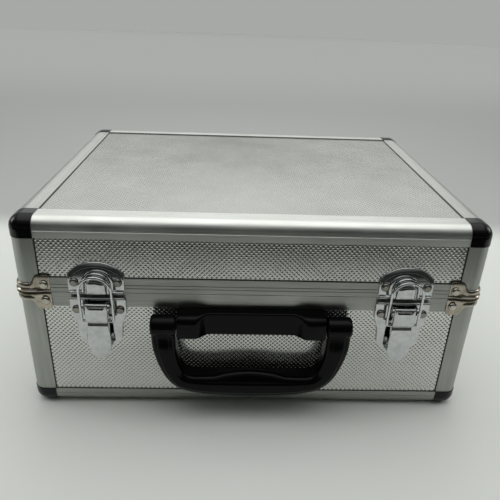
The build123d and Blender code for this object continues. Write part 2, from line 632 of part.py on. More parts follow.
def bail_arm(x, side, arch_y, arch_z):
    """One arm of the bail, from its end in the lever's wall out round a bend and up to the arch."""
    pivot_y = FRONT_Y - BAIL_PIVOT_PROUD
    bend, part_way = BAIL_BEND_R, arc_middle(BAIL_BEND_R)
    end_in = LEVER_HALF_W - LEVER_WALL - BAIL_END_GAP
    drop = (pivot_y - arch_y) * bend / (arch_z - BAIL_PIVOT_Z)
    tip = (x + side * end_in, pivot_y, BAIL_PIVOT_Z)
    turn_in = (x + side * (BAIL_HALF_W - bend), pivot_y, BAIL_PIVOT_Z)
    middle = (x + side * (BAIL_HALF_W - part_way), pivot_y - drop * part_way / bend, BAIL_PIVOT_Z + part_way)
    turn_out = (x + side * BAIL_HALF_W, pivot_y - drop, BAIL_PIVOT_Z + bend)
    arm_top = (x + side * BAIL_HALF_W, arch_y, arch_z)
    lines = [Line(tip, turn_in), ThreePointArc(turn_in, middle, turn_out), Line(turn_out, arm_top)]
    return tip, arm_top, lines


def latch_bail(x):
    """The wire bail: straight arms, a round top, and ends turned in through the lever's walls."""
    pivot_y, top_y = FRONT_Y - BAIL_PIVOT_PROUD, FRONT_Y - BAIL_TOP_PROUD
    arch_z = BAIL_TOP_Z - BAIL_HALF_W
    share = (arch_z - BAIL_PIVOT_Z) / (BAIL_TOP_Z - BAIL_PIVOT_Z)
    arch_y = pivot_y + (top_y - pivot_y) * share
    start, left_top, left_arm = bail_arm(x, -1, arch_y, arch_z)
    _, right_top, right_arm = bail_arm(x, 1, arch_y, arch_z)
    arch = ThreePointArc(left_top, (x, top_y, BAIL_TOP_Z), right_top)
    path = Wire([edge for line in left_arm + right_arm + [arch] for edge in line.edges()])
    section = Plane(origin=start, z_dir=(-1, 0, 0)) * Circle(BAIL_R)
    return sweep(section, path, transition=Transition.ROUND)


# ---- handle ------------------------------------------------------------------------------
def bracket_plan():
    """The handle bracket's plan outline: a low middle that swells into a lobe at each end."""
    back = -SKIN_T
    blend = (LOBE_IN - LOBE_SHOULDER) * 0.5
    end = [(MOULDING_HALF_W, back), (MOULDING_HALF_W, LOBE_PROUD), (LOBE_IN, LOBE_PROUD)]
    shoulder = [(LOBE_IN, LOBE_PROUD), (LOBE_IN - blend, LOBE_PROUD),
                (LOBE_SHOULDER + blend, MIDDLE_PROUD), (LOBE_SHOULDER, MIDDLE_PROUD)]
    lines = [Line((-MOULDING_HALF_W, back), (MOULDING_HALF_W, back)),
             Line((-LOBE_SHOULDER, MIDDLE_PROUD), (LOBE_SHOULDER, MIDDLE_PROUD))]
    for side in (-1, 1):
        lines += [Polyline(*flipped(end, side)), Bezier(*flipped(shoulder, side))]
    return make_face(Wire([edge for line in lines for edge in line.edges()]))


def handle_bracket(pegs):
    """The moulded bracket: a low bar with a deeper lobe at each end, its long front edges rounded."""
    height = MOULDING_HIGH_Z - MOULDING_LOW_Z
    plane = Plane(origin=(0, FRONT_Y, MOULDING_LOW_Z), x_dir=(1, 0, 0), z_dir=(0, 0, -1))
    body = extrude(plane * bracket_plan(), amount=-height)
    rims = [e for e in body.edges()
            if abs(abs(e.center().Z - HANDLE_AXIS_Z) - height / 2) < 0.4
            and e.center().Y < FRONT_Y - SKIN_T - 3 and abs(e.center().X) < MOULDING_HALF_W - 0.1]
    return drilled(fillet(rims, MOULDING_EDGE_R), pegs)


def handle_axis(across):
    """A place on the handle's pivot axis, turned so that a cylinder lies along the axis."""
    return Pos(across, FRONT_Y - HANDLE_AXIS_PROUD, HANDLE_AXIS_Z) * Rot(0, 90, 0)


def handle_pin(side):
    """The pin between the bracket's lobe and the grip's knuckle on one side."""
    middle = side * (HANDLE_PIN_OUT + HANDLE_PIN_IN) / 2
    return handle_axis(middle) * Cylinder(HANDLE_PIN_R, HANDLE_PIN_OUT - HANDLE_PIN_IN)


def handle_screws():
    """Screws driven from inside the case, heads let into the front panel."""
    screws = []
    head_y = FRONT_Y + BOARD_IN
    for across, height in SCREW_PLACES:
        for side in (-1, 1):
            tip = SCREW_TIP_PROUD if across > LOBE_IN else SHORT_SCREW_TIP_PROUD
            length = head_y - (FRONT_Y - tip)
            place = Plane(origin=(side * across, head_y, height), z_dir=(0, -1, 0))
            shank = Pos(0, 0, length / 2) * Cylinder(SCREW_R, length)
            head = Pos(0, 0, SCREW_HEAD_H / 2) * Cylinder(SCREW_HEAD_R, SCREW_HEAD_H)
            screws.append(place * (shank + head))
    return screws


def grip_face():
    """The grip's front outline: curved arms, a bowed bottom and a straight-sided hand opening."""
    arms = [Spline(*flipped([*GRIP_OUTER, GRIP_BOTTOM_CORNER], side)) for side in (-1, 1)]
    right, height = GRIP_BOTTOM_CORNER
    bottom = ThreePointArc((right, height), (0, GRIP_BOTTOM_Z), (-right, height))
    opening = [GRIP_OUTER[0], *GRIP_INNER]
    inner = Polyline(*opening, *flipped(opening[::-1], -1))
    return make_face(Wire([edge for line in (*arms, bottom, inner) for edge in line.edges()]))


def grip_bar():
    """The arms and the bar, with the hand opening's lower corners and the front's edges rounded."""
    bar = extrude(front_plane(0, GRIP_BACK) * grip_face(), amount=GRIP_FRONT - GRIP_BACK)
    corner_x, corner_z = GRIP_INNER[-1]
    sharp = [e for e in bar.edges()
             if abs(e.center().Z - corner_z) < 0.2 and abs(abs(e.center().X) - corner_x) < 0.2
             and abs(e.tangent_at(0.5).Y) > 0.9]
    bar = fillet(sharp, GRIP_INNER_R)
    front_rim = bar.faces().sort_by(Axis.Y)[0].edges()
    return fillet(front_rim.filter_by(lambda edge: edge.center().Z < HANDLE_AXIS_Z - 0.5), GRIP_EDGE_R)


def handle_grip():
    """The U-shaped grip, with a knuckle at the top of each arm, bored blind for its pin."""
    grip = grip_bar()
    bore_start, bore_end = KNUCKLE_IN - 1, HANDLE_PIN_OUT + PIN_END_GAP
    for side in (-1, 1):
        middle = side * (KNUCKLE_IN + KNUCKLE_OUT) / 2
        grip = grip + handle_axis(middle) * Cylinder(KNUCKLE_R, KNUCKLE_OUT - KNUCKLE_IN)
    for side in (-1, 1):
        middle = side * (bore_start + bore_end) / 2
        grip = grip - handle_axis(middle) * Cylinder(HANDLE_PIN_R + HANDLE_PIN_CLEAR, bore_end - bore_start)
    return grip


# ---- hinges ------------------------------------------------------------------------------
def hinge_axis(x):
    """A place on the hinge's axis, turned so that a cylinder lies along the axis."""
    return Pos(x, REAR_Y + HINGE_PROUD, SPLIT_Z) * Rot(0, 90, 0)


def knuckle(x, length):
    """A barrel segment with its pin hole."""
    tube = Cylinder(HINGE_BARREL_R, length) - Cylinder(HINGE_PIN_R + HINGE_PIN_CLEAR, length + 1)
    return hinge_axis(x) * tube


def leaf_plate(x_a, x_b, low, high):
    """Part of a leaf, flat on the rear of the frame."""
    return block((x_a, REAR_Y, low), (x_b, REAR_Y + HINGE_LEAF_T, high))


def leaf_backing(x, low, high, rim_low, rim_high):
    """Fills the recess between a leaf and the panel beyond the rim."""
    back = block((x - HINGE_HALF_W, REAR_Y - SKIN_T, low), (x + HINGE_HALF_W, REAR_Y, high))
    return back - square_slab(-1, rim_low, rim_high)


def hinge_base_leaf(x, rivets):
    """The base's leaf, with a barrel at each side of the middle knuckle."""
    clear_z = SPLIT_Z - HINGE_BARREL_R - HINGE_LEAF_GAP
    leaf = leaf_plate(x - HINGE_HALF_W, x + HINGE_HALF_W, SPLIT_Z - HINGE_LEAF_H, clear_z)
    leaf = leaf + leaf_backing(x, SPLIT_Z - HINGE_LEAF_H, clear_z, BASE_HIGH - RIM_H, SPLIT_Z)
    for side in (-1, 1):
        ends = sorted((x + side * (HINGE_MID_HALF + HINGE_SIDE_GAP), x + side * HINGE_HALF_W))
        leaf = leaf + leaf_plate(ends[0], ends[1], clear_z, SPLIT_Z)
        leaf = leaf + knuckle((ends[0] + ends[1]) / 2, ends[1] - ends[0])
    bore = hinge_axis(x) * Cylinder(HINGE_PIN_R + HINGE_PIN_CLEAR, 2 * HINGE_HALF_W + 2)
    return drilled(leaf - bore, rivets)


def hinge_lid_leaf(x, rivets):
    """The lid's leaf, with the middle knuckle and the tail that stops the lid."""
    clear_z = SPLIT_Z + HINGE_BARREL_R + HINGE_LEAF_GAP
    leaf = leaf_plate(x - HINGE_HALF_W, x + HINGE_HALF_W, clear_z, SPLIT_Z + HINGE_LEAF_H)
    leaf = leaf + leaf_backing(x, clear_z, SPLIT_Z + HINGE_LEAF_H, SPLIT_Z, LID_LOW + RIM_H)
    leaf = leaf + leaf_plate(x - HINGE_MID_HALF, x + HINGE_MID_HALF, SPLIT_Z, clear_z)
    leaf = leaf + knuckle(x, 2 * HINGE_MID_HALF)
    axis_y = REAR_Y + HINGE_PROUD
    claw = block((x - HINGE_MID_HALF, axis_y, SPLIT_Z - CLAW_T / 2),
                 (x + HINGE_MID_HALF, axis_y + CLAW_LENGTH, SPLIT_Z + CLAW_T / 2))
    claw = fillet(claw.edges().filter_by(Axis.X).group_by(Axis.Y)[-1], CLAW_T / 2 - 0.05)
    bore = hinge_axis(x) * Cylinder(HINGE_PIN_R + HINGE_PIN_CLEAR, 2 * HINGE_HALF_W + 2)
    return drilled(leaf + claw - bore, rivets)


def hinge_pin(x):
    """The hinge pin with a thin head at each end."""
    length = 2 * HINGE_HALF_W + 0.1
    pin = Cylinder(HINGE_PIN_R, length)
    for side in (-1, 1):
        head = Cylinder(HINGE_PIN_HEAD_R, HINGE_PIN_HEAD_T)
        pin = pin + Pos(0, 0, side * (length + HINGE_PIN_HEAD_T) / 2) * head
    return hinge_axis(x) * pin


# ---- assembly ----------------------------------------------------------------------------
def build_lid(latch_centres, hinge_centres):
    """Writes every node that moves with the lid."""
    rivets = bracket_rivets(SPLIT_Z + BRACKET_RIVET_RISE)
    grip = LATCH_T + BOARD_IN - RIVET_SHORT
    catch_rivets = pair_rivets(latch_centres, CATCH_RIVET[0], [CATCH_RIVET[1]],
                               FRONT_Y - LATCH_T, -1, grip)
    hinge_rivets = pair_rivets(hinge_centres, HINGE_RIVET[0], [SPLIT_Z + HINGE_RIVET[1]],
                               REAR_Y + HINGE_LEAF_T, 1, grip)
    pegs = rivets + catch_rivets + hinge_rivets
    top = face_panel(CASE_TOP, -1)
    walls = wall_panels(LID_LOW + RIM_WEB, CASE_TOP - PANEL_EDGE)
    save("lid_top_panel", top)
    for name, panel in walls.items():
        save("lid_" + name + "_panel", drilled(panel, pegs))
    for name, edge in horizontal_edges(CASE_TOP, -1, LID_SIDE_FLANGE).items():
        save("lid_edge_" + name, edge)
    save("lid_corner_posts", *corner_posts(LID_LOW + RIM_WEB, CASE_TOP - LID_CAP_H))
    for name, rim in lid_rim().items():
        save("lid_rim_" + name, drilled(rim, pegs))
    save("lid_corner_caps", *corner_caps(CASE_TOP, -1, LID_CAP_H, [top, *walls.values()]))
    save("lid_corner_brackets", *[drilled(b, rivets) for b in corner_brackets(1)])
    save("lid_bracket_rivets", *rivets)
    save("lid_lining", lining(CASE_TOP - BOARD_IN, -1, LID_LOW + RIM_WEB))
    foam_top = CASE_TOP - CAVITY_IN
    save("lid_foam", square_slab(CAVITY_IN + FOAM_CLEAR, foam_top - LID_FOAM_T, foam_top))
    for name, x in zip(("left", "right"), latch_centres):
        save("latch_catch_" + name, latch_catch(x, catch_rivets))
    save("latch_catch_rivets", *catch_rivets)
    save("hinge_lid_leaves", *[hinge_lid_leaf(x, hinge_rivets) for x in hinge_centres])
    save("hinge_lid_rivets", *hinge_rivets)


def build_base(latch_centres, hinge_centres):
    """Writes every node of the base, the latch levers and bails, and the handle."""
    rivets = bracket_rivets(SPLIT_Z - BRACKET_RIVET_RISE)
    grip = LATCH_T + BOARD_IN - RIVET_SHORT
    plate_rivets = pair_rivets(latch_centres, PLATE_RIVET[0], [PLATE_RIVET[1]],
                               FRONT_Y - LATCH_T, -1, grip)
    hinge_rivets = pair_rivets(hinge_centres, HINGE_RIVET[0], [SPLIT_Z - HINGE_RIVET[1]],
                               REAR_Y + HINGE_LEAF_T, 1, grip)
    screws = handle_screws()
    pegs = rivets + plate_rivets + hinge_rivets + screws
    bottom = face_panel(CASE_BOTTOM, 1)
    walls = wall_panels(CASE_BOTTOM + PANEL_EDGE, BASE_HIGH - RIM_WEB)
    save("base_bottom_panel", bottom)
    for name, panel in walls.items():
        save("base_" + name + "_panel", drilled(panel, pegs))
    for name, edge in horizontal_edges(CASE_BOTTOM, 1, BASE_SIDE_FLANGE).items():
        save("base_edge_" + name, edge)
    save("base_corner_posts", *corner_posts(CASE_BOTTOM + BASE_CAP_H, BASE_HIGH - RIM_WEB))
    for name, rim in base_rim().items():
        save("base_rim_" + name, drilled(rim, pegs))
    save("base_corner_caps", *corner_caps(CASE_BOTTOM, 1, BASE_CAP_H, [bottom, *walls.values()]))
    save("base_corner_brackets", *[drilled(b, rivets) for b in corner_brackets(-1)])
    save("base_bracket_rivets", *rivets)
    save("base_lining", lining(CASE_BOTTOM + BOARD_IN, 1, BASE_HIGH - RIM_WEB))
    floor = CASE_BOTTOM + CAVITY_IN
    save("base_floor_pad", square_slab(CAVITY_IN + FOAM_CLEAR, floor, floor + FLOOR_PAD_T))
    pins = [pivot_pin(x) for x in latch_centres]
    for name, x, pin in zip(("left", "right"), latch_centres, pins):
        save("latch_plate_" + name, latch_plate(x, plate_rivets, pin))
        save("latch_lever_" + name, latch_lever(x))
        save("latch_bail_" + name, latch_bail(x))
    save("latch_plate_rivets", *plate_rivets)
    save("latch_pivot_pins", *pins)
    save("hinge_base_leaves", *[hinge_base_leaf(x, hinge_rivets) for x in hinge_centres])
    save("hinge_base_rivets", *hinge_rivets)
    save("hinge_pins", *[hinge_pin(x) for x in hinge_centres])
    handle_pins = [handle_pin(side) for side in (-1, 1)]
    save("handle_bracket", handle_bracket(handle_pins + screws))
    save("handle_bracket_screws", *screws)
    save("handle_pivot_pins", *handle_pins)
    save("handle_grip", handle_grip())


def main():
    os.makedirs("parts", exist_ok=True)
    latch_centres = (-LATCH_X, LATCH_X)
    hinge_centres = (-HINGE_X, HINGE_X)
    build_lid(latch_centres, hinge_centres)
    build_base(latch_centres, hinge_centres)


main()
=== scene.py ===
"""Aluminium attache case: finishes, embossed panels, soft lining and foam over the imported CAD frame."""

import math
import random

import bmesh
import bpy
from bpy.props import FloatProperty, FloatVectorProperty, PointerProperty
from mathutils import Matrix, Vector


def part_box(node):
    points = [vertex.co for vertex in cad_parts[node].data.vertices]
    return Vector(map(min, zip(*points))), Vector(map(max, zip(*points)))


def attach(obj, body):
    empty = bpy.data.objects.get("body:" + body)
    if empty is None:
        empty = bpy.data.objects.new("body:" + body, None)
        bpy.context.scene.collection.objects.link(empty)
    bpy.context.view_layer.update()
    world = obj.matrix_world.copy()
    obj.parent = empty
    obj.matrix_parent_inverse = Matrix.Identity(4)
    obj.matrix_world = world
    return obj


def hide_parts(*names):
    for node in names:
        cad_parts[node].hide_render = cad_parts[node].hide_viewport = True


bl_info = {
    "name": "Attache Case",
    "version": (1, 0, 0),
    "blender": (4, 5, 0),
    "location": "View3D > Sidebar > Attache Case",
    "description": "Finishes an embossed aluminium attache case and its soft inside",
    "category": "Add Mesh",
}

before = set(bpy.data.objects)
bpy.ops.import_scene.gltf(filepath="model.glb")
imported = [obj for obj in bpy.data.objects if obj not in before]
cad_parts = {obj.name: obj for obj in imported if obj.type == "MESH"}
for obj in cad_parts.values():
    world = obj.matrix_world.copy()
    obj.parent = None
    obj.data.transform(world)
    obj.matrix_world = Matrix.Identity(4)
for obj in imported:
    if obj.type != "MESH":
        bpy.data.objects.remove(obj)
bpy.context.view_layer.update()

MM = 0.001
SIDES = ("front", "rear", "left", "right")
FRONT_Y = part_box("base_edge_front")[0].y


# ---- colours and nodes -------------------------------------------------------------------
def linear(code):
    """An sRGB hex colour as linear RGBA."""
    values = [int(code[i:i + 2], 16) / 255 for i in (0, 2, 4)]
    return (*(v / 12.92 if v <= 0.04045 else ((v + 0.055) / 1.055) ** 2.4 for v in values), 1.0)


def rgba(colour):
    """A hex code, or a colour that a user has chosen, as linear RGBA."""
    return linear(colour) if isinstance(colour, str) else (*colour, 1.0)


def add(tree, kind, values=None, links=None, **settings):
    """Adds a node, sets its properties and sockets, and links sockets to the outputs given."""
    node = tree.nodes.new(kind)
    for name, value in settings.items():
        setattr(node, name, value)
    for socket, value in (values or {}).items():
        node.inputs[socket].default_value = value
    for socket, output in (links or {}).items():
        tree.links.new(output, node.inputs[socket])
    return node


def new_finish(name, **sockets):
    """A material with a Principled shader; sockets holds the values that are the same all over."""
    material = bpy.data.materials.new(name)
    material.use_nodes = True
    tree = material.node_tree
    tree.nodes.clear()
    shader = add(tree, "ShaderNodeBsdfPrincipled", values=sockets)
    add(tree, "ShaderNodeOutputMaterial", links={"Surface": shader.outputs["BSDF"]})
    return material, tree, shader


def pattern(tree, size_mm, detail, rough=0.5, squeeze=(1, 1, 1)):
    """Noise fixed to the piece, with features about size_mm across, drawn out along a squeezed axis."""
    place = add(tree, "ShaderNodeTexCoord")
    scaled = add(tree, "ShaderNodeMapping", values={"Scale": squeeze},
                 links={"Vector": place.outputs["Object"]})
    return add(tree, "ShaderNodeTexNoise",
               values={"Scale": 1 / (size_mm * MM), "Detail": detail, "Roughness": rough},
               links={"Vector": scaled.outputs["Vector"]}).outputs["Fac"]


MOST = (0.3, 0.7)                                    # the values between which most of a pattern lies


def coat(tree, shader, colour, relief, rough=None):
    """Drives the shader's colour, relief and roughness from patterns.

    colour: a pattern, its first and last colour, and its values where they start and end
    relief: a pattern, its strength and its depth in mm
    rough: a pattern, the first and last roughness, and its values where they start and end
    """
    value, first, last, start, end = colour
    share = add(tree, "ShaderNodeMapRange", values={"From Min": start, "From Max": end},
                links={"Value": value})
    mix = add(tree, "ShaderNodeMix", data_type="RGBA", values={6: rgba(first), 7: rgba(last)},
              links={0: share.outputs["Result"]})
    tree.links.new(mix.outputs[2], shader.inputs["Base Color"])
    height, strength, depth_mm = relief
    bump = add(tree, "ShaderNodeBump", values={"Strength": strength, "Distance": depth_mm * MM},
               links={"Height": height})
    tree.links.new(bump.outputs["Normal"], shader.inputs["Normal"])
    if rough:
        value, first, last, start, end = rough
        gloss = add(tree, "ShaderNodeMapRange",
                    values={"From Min": start, "From Max": end, "To Min": first, "To Max": last},
                    links={"Value": value})
        tree.links.new(gloss.outputs["Result"], shader.inputs["Roughness"])


# ---- finishes ----------------------------------------------------------------------------
# the finest grain, lines and fibres are drawn up to a few times coarser than the real ones, so that they show
def extruded_aluminium(name, along, light, dark, rough):
    """Satin anodised extrusion: fine die lines along its length, which stretch its highlights across."""
    material, tree, shader = new_finish(name, Metallic=1.0)
    lines = pattern(tree, 0.9, 2.0, squeeze=[0.02 if axis == along else 1.0 for axis in range(3)])
    cloud = pattern(tree, 22.0, 4.0)
    coat(tree, shader, (lines, dark, light, *MOST), (lines, 0.15, 0.02),
         (cloud, rough - 0.05, rough + 0.06, *MOST))
    return material


def embossed_aluminium(name, light, dark, rough):
    """Thin anodised sheet, rolled and embossed: a fine matt grain, with marks that differ in gloss."""
    material, tree, shader = new_finish(name, Metallic=1.0)
    grain = pattern(tree, 0.4, 2.0)
    cloud = pattern(tree, 35.0, 4.0, 0.6)
    coat(tree, shader, (cloud, dark, light, *MOST), (grain, 0.12, 0.02),
         (cloud, rough - 0.01, rough + 0.02, *MOST))
    return material


def glossy_abs(name, colour, scuffed, rough):
    """Injection-moulded ABS, polished mould: tight reflections, a slight orange peel and fine scuffs."""
    material, tree, shader = new_finish(name, IOR=1.54, **{"Specular IOR Level": 0.25})
    peel = pattern(tree, 3.0, 1.0)
    scuff = pattern(tree, 1.2, 5.0, 0.7, (1.0, 0.15, 1.0))
    coat(tree, shader, (scuff, colour, scuffed, 0.62, 0.75), (peel, 0.15, 0.05),
         (scuff, rough, rough + 0.25, 0.55, 0.8))
    return material


def textured_abs(name, colour, worn, rough):
    """Moulded ABS from a spark-eroded mould: a fine even grain that spreads its highlights."""
    material, tree, shader = new_finish(name, IOR=1.53, **{"Specular IOR Level": 0.11})
    grain = pattern(tree, 0.55, 2.0, 0.6)
    cloud = pattern(tree, 16.0, 4.0)
    coat(tree, shader, (cloud, colour, worn, *MOST), (grain, 0.3, 0.04),
         (cloud, rough - 0.05, rough + 0.08, *MOST))
    return material


def plated(name, light, dark, rough, wave_mm=9.0):
    """Bright plating on pressed steel: mirror reflections, bent a little, with dull smears."""
    material, tree, shader = new_finish(name, Metallic=1.0)
    smear = pattern(tree, 5.0, 5.0, 0.65)
    wave = pattern(tree, wave_mm, 1.0)
    coat(tree, shader, (smear, light, dark, *MOST), (wave, 0.10, 0.08),
         (smear, rough, rough + 0.07, 0.45, 0.75))
    return material


def plain_steel(name, dark, light):
    """Turned steel: fine rings and a soft grey shine."""
    material, tree, shader = new_finish(name, Metallic=1.0)
    rings = pattern(tree, 0.4, 2.0, squeeze=(1.0, 0.1, 0.1))
    coat(tree, shader, (rings, dark, light, 0.0, 1.0), (rings, 0.2, 0.01), (rings, 0.25, 0.42, *MOST))
    return material


def felt(name, colour, lifted):
    """Needled felt on thin foam: no shine, short crossed fibres and a soft uneven nap."""
    material, tree, shader = new_finish(name, Roughness=0.95, **{"Sheen Weight": 0.4, "Sheen Roughness": 0.5})
    fibres = [pattern(tree, 0.5, 4.0, 0.7, squeeze) for squeeze in ((1.0, 0.2, 0.2), (0.2, 1.0, 1.0))]
    both = add(tree, "ShaderNodeMath", operation="MAXIMUM", links=dict(enumerate(fibres))).outputs[0]
    nap = pattern(tree, 9.0, 4.0)
    tone = add(tree, "ShaderNodeMath", operation="MULTIPLY", links={0: both, 1: nap}).outputs[0]
    coat(tree, shader, (tone, colour, lifted, 0.2, 0.42), (both, 0.5, 0.25))
    return material


def open_foam(name, colour, lifted):
    """Cut polyurethane foam: no shine, tiny open cells whose pits are painted darker, as painted shade in the
    cells.
    """
    material, tree, shader = new_finish(name, Roughness=0.98, **{"Sheen Weight": 0.15})
    place = add(tree, "ShaderNodeTexCoord")
    cells = add(tree, "ShaderNodeTexVoronoi", values={"Scale": 1 / (0.9 * MM)},
                links={"Vector": place.outputs["Object"]}).outputs["Distance"]
    cloud = pattern(tree, 14.0, 4.0)
    # darker at the cells' centres: painted shade in the pits, with a cloud that varies at random
    tone = add(tree, "ShaderNodeMath", operation="MULTIPLY", links={0: cells, 1: cloud}).outputs[0]
    coat(tree, shader, (tone, colour, lifted, 0.1, 0.4), (cells, 0.6, 0.3))
    return material


FINISHES = {}


def make_finishes():
    """Every material of the case, by a short name."""
    chosen = bpy.context.scene.attache_case
    FINISHES.update({
        "sheet": embossed_aluminium("embossed_anodised_aluminium", chosen.sheet_colour, "d3d4d0", 0.19),
        # the lid's top panel takes a darker copy of the same sheet: painted shade on the lid's top
        "sheet_top_painted_shade": embossed_aluminium("embossed_anodised_aluminium_painted_shade", "bcbdb9", "b1b2ae", 0.20),
        # the frame is one aluminium throughout; its extrusions take lighter and darker copies of it: painted
        # light on the lid's front and rear edges, a little darker on the lid's side edges, and painted shade on
        # the rims, the base's edges and the corner posts
        "extrusion_x": extruded_aluminium("painted_light_satin_aluminium_x", 0, "e6e8e3", "dadcd7", 0.34),
        "extrusion_y": extruded_aluminium("satin_aluminium_along_y", 1, "d2d4cf", "c6c8c3", 0.36),
        "rim_x": extruded_aluminium("satin_rim_aluminium_along_x", 0, "acaea9", "9c9e99", 0.36),
        "rim_y": extruded_aluminium("satin_rim_aluminium_along_y", 1, "acaea9", "9c9e99", 0.36),
        "extrusion_z": extruded_aluminium("painted_shade_satin_aluminium_z", 2, "a6a9a4", "9a9d98", 0.36),
        "cap": glossy_abs("black_gloss_abs", chosen.cap_colour, "2c2d30", 0.14),
        "handle": textured_abs("black_satin_abs", chosen.handle_colour, "070708", 0.17),
        "nickel": plated("warm_nickel_plate", "b7b0a2", "968f82", 0.16),
        "rivet": plated("nickel_plated_rivet", "c9c5bb", "a8a398", 0.10, 4.0),
        # the latch rivets take a darker copy of the rivets' nickel: painted shade
        "latch_rivet": plated("painted_shade_nickel_rivet", "96938d", "74716c", 0.09, 4.0),
        "chrome": plated("bright_chrome_plate", "cfd0d0", "b4b6b7", 0.05),
        "wire": plated("chrome_plated_wire", "d8d9d9", "c0c2c3", 0.08),
        "steel": plain_steel("turned_steel", "9b9b98", "c2c2bf"),
        "felt": felt("black_felt", chosen.lining_colour, "1d1d20"),
        "foam": open_foam("charcoal_foam", chosen.foam_colour, "2a2a2d"),
        "thread": felt("grey_polyester_thread", chosen.thread_colour, "58585c"),
        # black beads where the panels meet the frame: painted shadow in those gaps
        "seam": felt("black_edge_seal", "0a0a0a", "161616"),
    })


def dress(node, finish):
    """Gives a CAD node one finish."""
    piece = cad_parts[node]
    for slot in piece.material_slots:
        slot.material = FINISHES[finish]


# ---- mesh helpers ------------------------------------------------------------------------
def placed(name, data):
    """A new object in the scene for a mesh, light or camera."""
    thing = bpy.data.objects.new(name, data)
    bpy.context.scene.collection.objects.link(thing)
    return thing


def piece_from(name, mesh, body, finish=None, smooth=None):
    """A finished piece on a body, made from a mesh that already holds its place."""
    piece = placed(name, mesh)
    if finish:
        mesh.materials.clear()
        mesh.materials.append(FINISHES[finish])
    if smooth is not None:
        mesh.shade_smooth()
        mesh.set_sharp_from_angle(angle=math.radians(smooth))
    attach(piece, body)
    return piece


def baked(source):
    """The evaluated mesh of an object, on its own, with the object removed."""
    evaluated = source.evaluated_get(bpy.context.evaluated_depsgraph_get())
    mesh = bpy.data.meshes.new_from_object(evaluated)
    old = source.data
    bpy.data.objects.remove(source)
    if old.users == 0:
        bpy.data.meshes.remove(old)
    return mesh


def grown_by_nodes(name, tree, path=None, **inputs):
    """The mesh that a geometry node tree makes, with its named inputs set before it is evaluated."""
    holder = placed(name, path or bpy.data.meshes.new(name))
    modifier = holder.modifiers.new(name, "NODES")
    modifier.node_group = tree
    for item in tree.interface.items_tree:
        if item.item_type == "SOCKET" and item.in_out == "INPUT" and item.name in inputs:
            modifier[item.identifier] = inputs[item.name]
    bpy.context.view_layer.update()
    mesh = baked(holder)
    mesh.name = name
    return mesh


def new_tree(name, inputs):
    """A geometry node tree with inputs of the kinds given, a finish and one output, and its input sockets."""
    tree = bpy.data.node_groups.new(name, "GeometryNodeTree")
    for socket, kind in (*inputs, ("Finish", "Material")):
        tree.interface.new_socket(socket, in_out="INPUT", socket_type="NodeSocket" + kind)
    tree.interface.new_socket("Geometry", in_out="OUTPUT", socket_type="NodeSocketGeometry")
    return tree, add(tree, "NodeGroupInput").outputs


def end_tree(tree, geometry, finish):
    """Makes the instances real, gives them their finish and hands them out."""
    real = add(tree, "GeometryNodeRealizeInstances", links={"Geometry": geometry})
    coated = add(tree, "GeometryNodeSetMaterial",
                 links={"Geometry": real.outputs["Geometry"], "Material": finish})
    add(tree, "NodeGroupOutput", links={"Geometry": coated.outputs["Geometry"]})


# ---- embossing ---------------------------------------------------------------------------
FLAT_TOP = 0.22                                      # radius of a diamond's flat top as a share of its own
POST_FACE = 16.8 * MM                                # width of a corner post's leg beside a panel
# section of the black bead round each panel, a painted shadow in the gap where panel meets frame
SHADOW_BEAD_SECTION = ((-0.1, -0.05), (0.6, -0.05), (0.45, 0.2), (-0.1, 0.4))      # reach inwards and lift, in mm


def embossing_tree():
    """Raised diamonds on a rectangle, in two grids half a pitch apart."""
    sizes = ("Width", "Height", "Pitch Across", "Pitch Up", "Diamond Radius", "Diamond Height")
    tree, given = new_tree("diamond_embossing", [(size, "Float") for size in sizes])
    flat_top = add(tree, "ShaderNodeMath", operation="MULTIPLY", values={1: FLAT_TOP},
                   links={0: given["Diamond Radius"]})
    stud = add(tree, "GeometryNodeMeshCone", values={"Vertices": 4},
               links={"Radius Bottom": given["Diamond Radius"], "Radius Top": flat_top.outputs[0],
                      "Depth": given["Diamond Height"]})
    join = add(tree, "GeometryNodeJoinGeometry")
    for fewer in (0, 1):
        counts, spans = [], []
        for extent, pitch in (("Width", "Pitch Across"), ("Height", "Pitch Up")):
            cells = add(tree, "ShaderNodeMath", operation="DIVIDE",
                        links={0: given[extent], 1: given[pitch]})
            whole = add(tree, "ShaderNodeMath", operation="FLOOR", links={0: cells.outputs[0]})
            gaps = add(tree, "ShaderNodeMath", operation="SUBTRACT", values={1: float(fewer)},
                       links={0: whole.outputs[0]})
            counts.append(add(tree, "ShaderNodeMath", operation="ADD", values={1: 1.0},
                              links={0: gaps.outputs[0]}).outputs[0])
            spans.append(add(tree, "ShaderNodeMath", operation="MULTIPLY",
                             links={0: gaps.outputs[0], 1: given[pitch]}).outputs[0])
        lattice = add(tree, "GeometryNodeMeshGrid",
                      links={"Size X": spans[0], "Size Y": spans[1],
                             "Vertices X": counts[0], "Vertices Y": counts[1]})
        studs = add(tree, "GeometryNodeInstanceOnPoints",
                    links={"Points": lattice.outputs["Mesh"], "Instance": stud.outputs["Mesh"]})
        tree.links.new(studs.outputs["Instances"], join.inputs["Geometry"])
    end_tree(tree, join.outputs["Geometry"], given["Finish"])
    return tree


